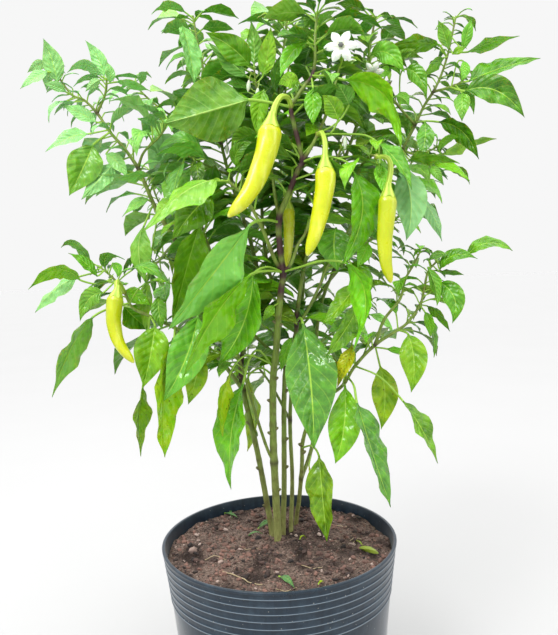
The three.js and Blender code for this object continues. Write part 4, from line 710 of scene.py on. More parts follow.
# Fresh skin is green with paler lengthwise fibres, and flushes purple-brown in the sun. It turns olive brown
# and corky towards the soil.
look = add(tree, "Attribute", {"attribute_name": "look"})
parts = add(tree, "SeparateColor", {}, {"Color": look})
where = add(tree, "TexCoord").outputs["Object"]
fibre = add(tree, "Mapping", {"Scale": (1 / (1.5 * mm), 1 / (1.5 * mm), 1 / (14 * mm))}, {"Vector": where})
lines = add(tree, "TexNoise", {"Scale": 1, "Detail": 3}, {"Vector": fibre})
mottle = add(tree, "TexNoise", {"Scale": 1 / (9 * mm), "Detail": 3}, {"Vector": where})
green = add(tree, "MixRGB", {"Color1": linear("4c6c1c"), "Color2": linear("98ac4e")}, {"Fac": lines})
cork = add(tree, "MixRGB", {"Color1": linear("687036"), "Color2": linear("b4b474")}, {"Fac": lines})
aged = add(tree, "MixRGB", {}, {"Color1": green, "Color2": cork, "Fac": parts.outputs["Green"]})
spots = add(tree, "MapRange", {"From Min": 0.5, "From Max": 0.7, "To Max": 0.5}, {"Value": mottle})
mottled = add(tree, "MixRGB", {"Color2": linear("5a4426")}, {"Color1": aged, "Fac": spots})
flush = add(tree, "TexNoise", {"Scale": 1 / (45 * mm), "Detail": 2}, {"Vector": where})
reddened = add(tree, "Math", {"operation": "MULTIPLY_ADD", 1: 0.5}, {0: flush, 2: parts.outputs["Blue"]})
blush = add(tree, "MapRange", {"From Min": 0.4, "From Max": 0.6}, {"Value": reddened})
flushed = add(tree, "MixRGB", {"Color2": linear("4a3030")}, {"Color1": mottled, "Fac": blush})
ringed = add(tree, "MixRGB", {"Color2": linear("33191f")}, {"Color1": flushed, "Fac": parts.outputs["Red"]})
relief = add(tree, "Bump", {"Strength": 0.4, "Distance": 0.4 * mm}, {"Height": lines})
join(tree, shader, {"Base Color": ringed, "Normal": relief})


def nearness(points, places, reach):
    """How near points are to the nearest of some places: exp(-(distance / reach)^2)."""
    apart = np.min(np.linalg.norm(points[:, None] - places[None], axis=-1), 1)
    return np.exp(-(apart / reach) ** 2)


def steps(path):
    """The length of each step along a path."""
    return np.linalg.norm(np.diff(path, axis=0), axis=1)


def skin_look(*parts):
    """The look of one skin's points from its four parts, each by ring and place round, or by one of them.

    A pole has the look of the first point of its ring.
    """
    look = np.stack(np.broadcast_arrays(*parts), -1)
    return np.concatenate([look.reshape(-1, 4), look[0, :1], look[-1, :1]])


# Scars of dropped leaf stalks on the lower stems: column, row and mm nearer, and which way each points.
scars = [((272, 322, 20), -1), ((283, 328, 20), 1), ((268, 433, 4), -1), ((276, 430, 4), 1),
         ((281, 405, 8), 1), ((286, 441, -30), 1), ((268, 400, 8), -1), ((280, 380, 12), 1),
         ((250, 425, -23), -1), ((240, 378, -18), -1), ((305, 452, -34), 1), ((297, 445, -30), -1),
         ((290, 350, -18), -1), ((288, 392, -26), 1), ((286, 470, -34), 1), ((262, 470, -30), -1),
         ((316, 420, -57), 1), ((319, 380, -57), 1), ((266, 505, -34), -1), ((279, 492, -7), 1)]
scar_places = seen([spot for spot, _ in scars])
scar_length = 3.2 * mm
scar_search = 9 * mm
scar_rows, scar_around = 7, 8
# Middles of the stretches that sun has flushed purple-brown: column, row and mm nearer.
flush_places = seen([
    (279, 219, 40), (280, 245, 37), (283, 272, 32), (281, 290, 28), (294, 183, 45), (302, 162, 46),
    (297, 137, 49), (291, 112, 50), (312, 76, 46), (296, 322, -14), (241, 362, -16), (241, 375, -17)])
flush_reach = 14 * mm
mark_reach = 4 * mm
node_spacing, node_length = 26 * mm, 3 * mm
cork_reach = 150 * mm
stem_ribs, rib_depth = 5, 0.05
knot_swelling = 0.22
thick_foot, thick_around, thin_around = 2.5, 14, 9
for stem in stem_names:
    skins, looks, own, own_radii = [], [], [], []
    for (owner, (foot_radius, tip_radius), _, _), path in zip(branches, smooth_routes):
        if owner != stem:
            continue
        share = np.linspace(0, 1, len(path))
        length = np.cumsum([0, *steps(path)])
        # Nodes swell a little, at even spaces along the branch.
        nodes = np.exp(-(((length / node_spacing + 0.3) % 1 - 0.5) * node_spacing / node_length) ** 2)
        above = np.clip((path[:, 2] - soil_level) / cork_reach, 0, 1)
        knots = np.maximum(nearness(path, forks, node_reach), 0.5 * nodes * above)
        around = thick_around if foot_radius > thick_foot else thin_around
        ribbed = 1 + rib_depth * np.cos(stem_ribs * round_turns(around) + 0.7)
        swell = (foot_radius + (tip_radius - foot_radius) * share) * mm * (1 + knot_swelling * knots)
        skins.append(skin_rings(tube(path, swell[:, None] * ribbed, around)))
        own.extend(path)
        own_radii.extend(swell)
        scarred = 0.45 * nearness(path, scar_places, mark_reach)
        dark = np.maximum(nearness(path, forks, mark_reach) * (0.3 + 0.6 * above), 0.15 * nodes + scarred)
        rows = [dark, (1 - above) ** 1.2, 0.4 * nearness(path, flush_places, flush_reach)]
        looks.append(skin_look(*(row[:, None] for row in rows), np.ones(around)))
    for spot, way in scars:
        apart = np.linalg.norm(np.array(own) - seen(spot), axis=1)
        nearest = np.argmin(apart)
        if apart[nearest] > scar_search:
            continue
        share = np.linspace(0, 1, scar_rows)
        reach = (own_radii[nearest] + scar_length) * share
        path = own[nearest] + np.outer(reach, unit(way * sight_right + 0.5 * upright - 0.4 * sight))
        skins.append(skin_rings(tube(path, (2.8 - 1.6 * share ** 2) * mm, scar_around)))
        looks.append(skin_look(0.45, 0.8, 0, np.ones((scar_rows, scar_around))))
    piece = new_piece("branches_" + stem, join_skins(skins), [stem_skin], look=np.concatenate(looks))
    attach(piece, "root")
    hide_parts("leafy_stem_" + stem)

# Peppers
# Five long yellow chillies hang on thick ribbed stalks. Their skin is waxy and glossy over slight hollows. A
# smooth funnel of green calyx with small teeth grips the shoulder. Its stalk is grown in one with its stem.
# Each: name, stem, widest radius in mm, stalk spots, fruit spots from shoulder to tip, and share of green.
peppers = [
    ("pepper_1", "front", 12.6,
     [(291, 107, 50), (288, 98, 58), (281, 97, 68), (275, 106, 76), (272, 119, 80)],
     [(271, 122, 80.6), (268, 143, 84), (260, 170, 89), (247, 196, 95), (228, 217, 100)], 0.05),
    ("pepper_2", "front", 10.8, [(318, 134, 56), (322, 133, 66), (325, 143, 78), (325, 160, 84)],
     [(325, 163, 84.5), (325, 185, 88), (321, 210, 92), (315, 234, 96), (307, 256, 98)], 0.05),
    ("pepper_3", "right", 9.6, [(376, 156.6, 71), (387, 158, 82), (391, 168, 86), (388, 188, 88)],
     [(388, 191, 88.4), (387, 212, 90), (385, 238, 92), (386, 262, 94), (391, 283, 95)], 0.5),
    ("pepper_4", "front", 7.2, [(288, 195, 43), (291, 192, 34), (290, 196, 24), (288, 201, 16)],
     [(288, 203, 15.4), (289, 220, 12), (289, 236, 10), (288, 252, 9), (286, 267, 8)], 0.2),
    ("pepper_5", "left", 9.0, [(124, 292, 42), (121, 286, 52), (117, 282, 60), (117, 290, 66)],
     [(117, 292, 66.4), (114, 308, 69), (114, 326, 72), (120, 345, 75), (134, 363, 78)], 0.4),
]
fruit_rows, fruit_around = 64, 40
calyx_rows, calyx_around, calyx_teeth = 16, 42, 6
tooth = 2 * mm
hang_rows, hang_around, hang_ribs, hang_radius = 44, 15, 5, 2.5

fruit_flesh, tree, shader = start_material(
    "waxy yellow chilli skin", {"IOR": 1.45, "Coat Weight": 0.25, "Coat Roughness": 0.15,
                                "Subsurface Weight": 0.12, "Subsurface Scale": 4 * mm})
# The cuticle is smooth as wax. It ripens from olive at the shoulder; thin pale bands along it are painted
# highlight.
look = add(tree, "Attribute", {"attribute_name": "look"})
parts = add(tree, "SeparateColor", {}, {"Color": look})
where = add(tree, "TexCoord").outputs["Object"]
bands = add(tree, "Mapping", {"Scale": (1 / (6 * mm), 1 / (6 * mm), 1 / (45 * mm))}, {"Vector": where})
banding = add(tree, "TexNoise", {"Scale": 1, "Detail": 2}, {"Vector": bands})
cloud = add(tree, "TexNoise", {"Scale": 1 / (16 * mm), "Detail": 3}, {"Vector": where})
# Painted highlight: thin paler streaks along the fruit, from the banding noise.
painted_highlight_streaks = add(tree, "MapRange", {"From Min": 0.45, "From Max": 0.8}, {"Value": banding})
lemon = add(tree, "MixRGB", {"Color1": linear("c4cc10"), "Color2": linear("e2e66c")}, {"Fac": painted_highlight_streaks})
yellow = add(tree, "MixRGB", {"Color1": linear("bcc40a")}, {"Color2": lemon, "Fac": look.outputs["Alpha"]})
ripe = add(tree, "MapRange", {"From Min": 0.5, "From Max": 0.75, "To Max": 0.6}, {"Value": cloud})
warm = add(tree, "MixRGB", {"Color2": linear("a8b412")}, {"Color1": yellow, "Fac": ripe})
greened = add(tree, "MixRGB", {"Color2": linear("8fa814")}, {"Color1": warm, "Fac": parts.outputs["Red"]})
tipped = add(tree, "MixRGB", {"Color2": linear("f6f2a0")},
             {"Color1": greened, "Fac": parts.outputs["Green"]})
gloss = add(tree, "MapRange", {"To Min": 0.2, "To Max": 0.36}, {"Value": cloud})
relief = add(tree, "Bump", {"Strength": 0.3, "Distance": 1.2 * mm}, {"Height": banding})
join(tree, shader, {"Base Color": tipped, "Roughness": gloss, "Normal": relief})

calyx_skin, tree, shader = start_material(
    "fresh green calyx and fruit stalk", {"Roughness": 0.42, "IOR": 1.42})
# Smooth and slightly waxy, yellow-green with paler ribs, brownish where it joins its branch.
look = add(tree, "Attribute", {"attribute_name": "look"})
parts = add(tree, "SeparateColor", {}, {"Color": look})
where = add(tree, "TexCoord").outputs["Object"]
mottle = add(tree, "TexNoise", {"Scale": 1 / (3 * mm), "Detail": 3}, {"Vector": where})
greens = add(tree, "MixRGB", {"Color1": linear("6f9a1e"), "Color2": linear("a9c83e")}, {"Fac": mottle})
ribs = add(tree, "MixRGB", {"Color2": linear("c2d65a")}, {"Color1": greens, "Fac": parts.outputs["Green"]})
joined = add(tree, "MixRGB", {"Color2": linear("5a4326")}, {"Color1": ribs, "Fac": parts.outputs["Red"]})
relief = add(tree, "Bump", {"Strength": 0.3, "Distance": 0.3 * mm}, {"Height": mottle})
join(tree, shader, {"Base Color": joined, "Normal": relief})


def fruit_width(s):
    """The fruit's radius at share s of its length, as a share of its widest.

    It is the root of 0.18 + s / 0.16 at the shoulder, then 1 - 0.56 s^1.8, rounded over the last 0.18.
    """
    shoulder = np.sqrt(np.minimum(1, 0.18 + s / 0.16))
    tip = np.sqrt(np.maximum(0, 1 - np.maximum(0, (s - 0.82) / 0.18) ** 2))
    return shoulder * (1 - 0.56 * s ** 1.8) * tip


def fruit_frame(spots, s):
    """Middles at shares s of a fruit's curve, and directions down and across, for rings to be set round.

    Where s is below 0 the curve is carried on straight above the shoulder.
    """
    points = seen(spots)
    last = len(points) - 1
    inside = np.clip(s, 0, 1)
    after, before = np.minimum(inside + 0.01, 1), np.maximum(inside - 0.01, 0)
    down = unit(curve(points, after * last) - curve(points, before * last))
    length = np.sum(steps(smooth(points, 60)))
    middles = curve(points, inside * last) + np.minimum(s, 0)[:, None] * length * down
    side = square_to(np.array([1.0, 0, 0]), down)
    return [part[:, None] for part in (middles, down, side, np.cross(side, down))]


for number, (name, stem, widest, stalk_spots, fruit_spots, green) in enumerate(peppers):
    s = 0.5 - 0.5 * np.cos(np.pi * np.linspace(0.02, 0.985, fruit_rows))
    middles, down, side, over = fruit_frame(fruit_spots, s)
    turn = round_turns(fruit_around)
    s = s[:, None]
    hollows = (0.03 * np.cos(3 * turn + number + 1.5 * s) + 0.016 * np.sin(13 * s + 2 * turn)
               + 0.012 * np.sin(24 * s - 3 * turn + 2 * number))
    radii = widest * mm * fruit_width(s) * (1 + np.sin(np.pi * s) ** 0.5 * hollows)
    ends = seen([fruit_spots[0], fruit_spots[-1]])
    skin = skin_rings(set_round(middles, side, over, radii, turn), ends[:1], ends[1:])
    olive = green * (1 - s) ** (2 - green)
    blunt = np.clip((s - 0.97) / 0.03, 0, 1)
    looks = skin_look(olive, 0.5 * blunt, 0, np.full(fruit_around, 1 - 1.3 * green))
    piece = new_piece(name + "_skin", skin, [fruit_flesh], look=looks, crease=80)
    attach(piece, "root")
    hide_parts(name)

    # The cup's share of the fruit's length and radius in mm, down its outside and back up inside.
    neck, edge, throat = widest * fruit_width(np.array([0.035, 0.075, 0.045]))
    outer = smooth([(-0.09, 0.3 * widest), (-0.04, 0.4 * widest), (0, 0.56 * widest), (0.03, neck + 0.5),
                    (0.07, edge + 0.45)], calyx_rows)
    inner = [(0.07, edge + 0.1), (0.04, throat + 0.1), (0, 0.44 * widest)]
    s, radii = np.concatenate([outer, inner]).T
    middles, down, side, over = fruit_frame(fruit_spots, s)
    s, turn = s[:, None], round_turns(calyx_around)
    ribs = 0.5 + 0.5 * np.cos(calyx_teeth * turn)
    teeth = tooth * np.clip((s - 0.02) / 0.06, 0, 1) * ribs ** 3
    radii = mm * radii[:, None] * (1 + 0.03 * np.cos(calyx_teeth * turn))
    rings = set_round(middles + down * teeth[..., None], side, over, radii, turn)
    cup = skin_rings(rings, ends=seen(fruit_spots[:1]) - clearance * down[0])
    cup_look = skin_look(0, ribs, 0, 0 * s)
    path = smooth(seen(stalk_spots), hang_rows)
    share, turn = np.linspace(0, 1, hang_rows)[:, None], round_turns(hang_around)
    funnel = hang_radius + (0.31 * widest - hang_radius) * share ** 2 + 0.8 * np.exp(-(share / 0.05) ** 2)
    stalk = skin_rings(tube(path, funnel * mm * (1 + 0.07 * np.cos(hang_ribs * turn)), hang_around))
    stalk_look = skin_look(0.7 * np.exp(-(share / 0.06) ** 2), 0.5 + 0.5 * np.cos(hang_ribs * turn), 0, 0)
    piece = new_piece(name + "_calyx_and_stalk", join_skins([cup, stalk]), [calyx_skin],
                      look=np.concatenate([cup_look, stalk_look]), crease=60)
    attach(piece, "root")
    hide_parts("leafy_stem_" + stem)

# Blooms and buds
# Small white flowers of six pointed petals that curl back a little, each round a dark cone of anthers, and a
# few pale closed buds, all nodding on thin stalks.
# Each bloom: name, stem, its middle, the way it faces, the reach of its petals in mm, and its stalk.
blooms = [
    ("bloom_1", "front", (341, 46, 62), (-0.15, -1, 0.1), 18,
     [(339, 70, 46), (342, 60, 54), (341, 50, 56)]),
    ("bloom_2", "right", (373, 72, 42), (-0.2, -0.75, -0.7), 12,
     [(378, 76, 20), (373, 66, 28), (372, 67, 38)]),
]
petal_count = 6
bloom_rows, bloom_around = 34, 96
cone_rows, cone_around, cone_ribs = 14, 36, 6
bloom_stalk_rows, bloom_stalk_around = 24, 8
bloom_depth = 2.2

petal_skin, tree, shader = start_material(
    "thin white petal", {"Roughness": 0.55, "Subsurface Weight": 0.15, "Subsurface Scale": 2 * mm})
# Matt and slightly see-through, with a green throat and faint veins 1 mm apart.
look = add(tree, "Attribute", {"attribute_name": "look"})
parts = add(tree, "SeparateColor", {}, {"Color": look})
where = add(tree, "TexCoord").outputs["Object"]
veining = add(tree, "TexNoise", {"Scale": 1 / (1 * mm), "Detail": 3}, {"Vector": where})
whites = add(tree, "MixRGB", {"Color1": linear("c4c8bc"), "Color2": linear("eef0ea")}, {"Fac": veining})
throat = add(tree, "MixRGB", {"Color2": linear("b9cf8a")}, {"Color1": whites, "Fac": parts.outputs["Red"]})
relief = add(tree, "Bump", {"Strength": 0.2, "Distance": 0.3 * mm}, {"Height": veining})
join(tree, shader, {"Base Color": throat, "Normal": relief})

anther_skin, tree, shader = start_material("ripe slate-blue anthers", {"Roughness": 0.65})
# Dull grey-blue sacs dusted with pollen, in grains drawn 0.8 mm wide.
where = add(tree, "TexCoord").outputs["Object"]
pollen = add(tree, "TexNoise", {"Scale": 1 / (0.8 * mm), "Detail": 2}, {"Vector": where})
slate = add(tree, "MixRGB", {"Color1": linear("3d4049"), "Color2": linear("7b7d74")}, {"Fac": pollen})
join(tree, shader, {"Base Color": slate})


def nearest_on(stem, place):
    """The nearest point of a stem's branches to a place."""
    own = np.concatenate([path for branch, path in zip(branches, smooth_routes) if branch[0] == stem])
    return own[np.argmin(np.linalg.norm(own - place, axis=1))]


for name, stem, spot, faces, petal_reach, stalk_spots in blooms:
    middle, ahead = seen(spot), unit(np.array(faces, float))
    side = unit(np.cross(ahead, upright))
    over = np.cross(ahead, side)
    turn = round_turns(bloom_around)
    away = np.abs((petal_count * turn / (2 * np.pi) + 0.5) % 1 - 0.5) * 2
    petal = (1 - away) ** 0.7
    # Rows of share of the reach, depth of the notch between petals, and mm forward, from the tube behind
    # round the petals' edge to the throat in front.
    profile = smooth([(0.2, 0.95, -bloom_depth), (0.32, 0.94, 0), (0.68, 0.68, 0.9), (1, 0.5, 0.5),
                      (0.97, 0.5, 0.9), (0.66, 0.64, 1.8), (0.3, 0.9, 1.3), (0.1, 0.95, 0.9)], bloom_rows)
    share, notch, forward = (column[:, None] for column in profile.T)
    radii = petal_reach * mm * share * (notch + (1 - notch) * petal)
    curl = 1.6 * share ** 3 * petal - 0.8 * np.sin(np.pi * share) * (1 - away) ** 3
    forward = (forward - curl) * mm
    rings = set_round(middle + ahead * forward[..., None], side, over, radii, turn)
    looks = skin_look(0.8 * np.exp(-(share / 0.22) ** 2), 0, 0, np.zeros(bloom_around))
    piece = new_piece(name + "_petals", skin_rings(rings), [petal_skin], look=looks, crease=70)
    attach(piece, "root")
    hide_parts(name)

    # Rows of the cone: share of the petals' reach, and mm forward.
    profile = smooth([(0.1, 1.5), (0.14, 2.4), (0.165, 3.4), (0.13, 4.6), (0.06, 5.4)], cone_rows)
    share, forward = (column[:, None] for column in profile.T)
    turn = round_turns(cone_around)
    radii = petal_reach * mm * share * (0.92 + 0.12 * np.cos(cone_ribs * turn))
    rings = set_round(middle + ahead * forward[..., None] * mm, side, over, radii, turn)
    piece = new_piece(name + "_anther_cone", skin_rings(rings), [anther_skin], crease=70)
    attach(piece, "root")
    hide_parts(name + "_anthers")

    path = np.concatenate([seen(stalk_spots), [middle - ahead * (bloom_depth * mm + clearance)]])
    path[0] = nearest_on(stem, path[0])
    path = smooth(path, bloom_stalk_rows)
    share = np.linspace(0, 1, bloom_stalk_rows)
    stalk = skin_rings(tube(path, (0.8 + 0.9 * share ** 6) * mm, bloom_stalk_around))
    piece = new_piece(name + "_stalk", stalk, [calyx_skin], look=np.zeros((len(stalk[0]), 4)))
    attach(piece, "root")
    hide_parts("leafy_stem_" + stem)

# Closed buds: stem, stalk spots, and the spot of the bud's tip.
buds = [("front", [(255, 74, 6), (251, 74, 11), (249, 80, 13)], (248, 92, 14)),
        ("front", [(256, 84, 6), (259, 82, 12), (258, 88, 14)], (257, 98, 15)),
        ("front", [(339, 156, 54), (343, 140, 59), (345, 136, 61)], (345, 149, 62)),
        ("right", [(378, 76, 20), (366, 70, 26), (364, 74, 28)], (363, 84, 29)),
        ("left", [(221, 143, -38), (226, 138, -30), (227, 144, -28)], (227, 154, -27))]
bud_rows, bud_around, bud_ribs, bud_stalk_around = 12, 18, 6, 7
bud_radius, bud_stalk_radius = 2.3 * mm, 0.7 * mm
bud_skins, stalk_skins = [], []
for stem, stalk_spots, tip_spot in buds:
    path = seen(stalk_spots)
    path[0] = nearest_on(stem, path[0])
    path = smooth(path, bud_rows)
    stalk_skins.append(skin_rings(tube(path, np.full(bud_rows, bud_stalk_radius), bud_stalk_around)))
    s = np.linspace(0, 1, bud_rows)
    body = path[-1] + np.outer(s, seen(tip_spot) - path[-1])
    radii = bud_radius * np.sin(np.pi * (0.06 + 0.9 * s[:, None])) ** 0.8
    ridged = 1 + 0.05 * np.cos(bud_ribs * round_turns(bud_around))
    bud_skins.append(skin_rings(tube(body, radii * ridged, bud_around)))
for name, skins, material, slot in (("closed_buds", bud_skins, petal_skin, "white_petal"),
                                    ("bud_stalks", stalk_skins, calyx_skin, "green_leaf_and_stem")):
    skin = join_skins(skins)
    piece = new_piece(name, skin, [material], look=np.tile([0.35, 0, 0, 1], (len(skin[0]), 1)))
    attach(piece, "root")

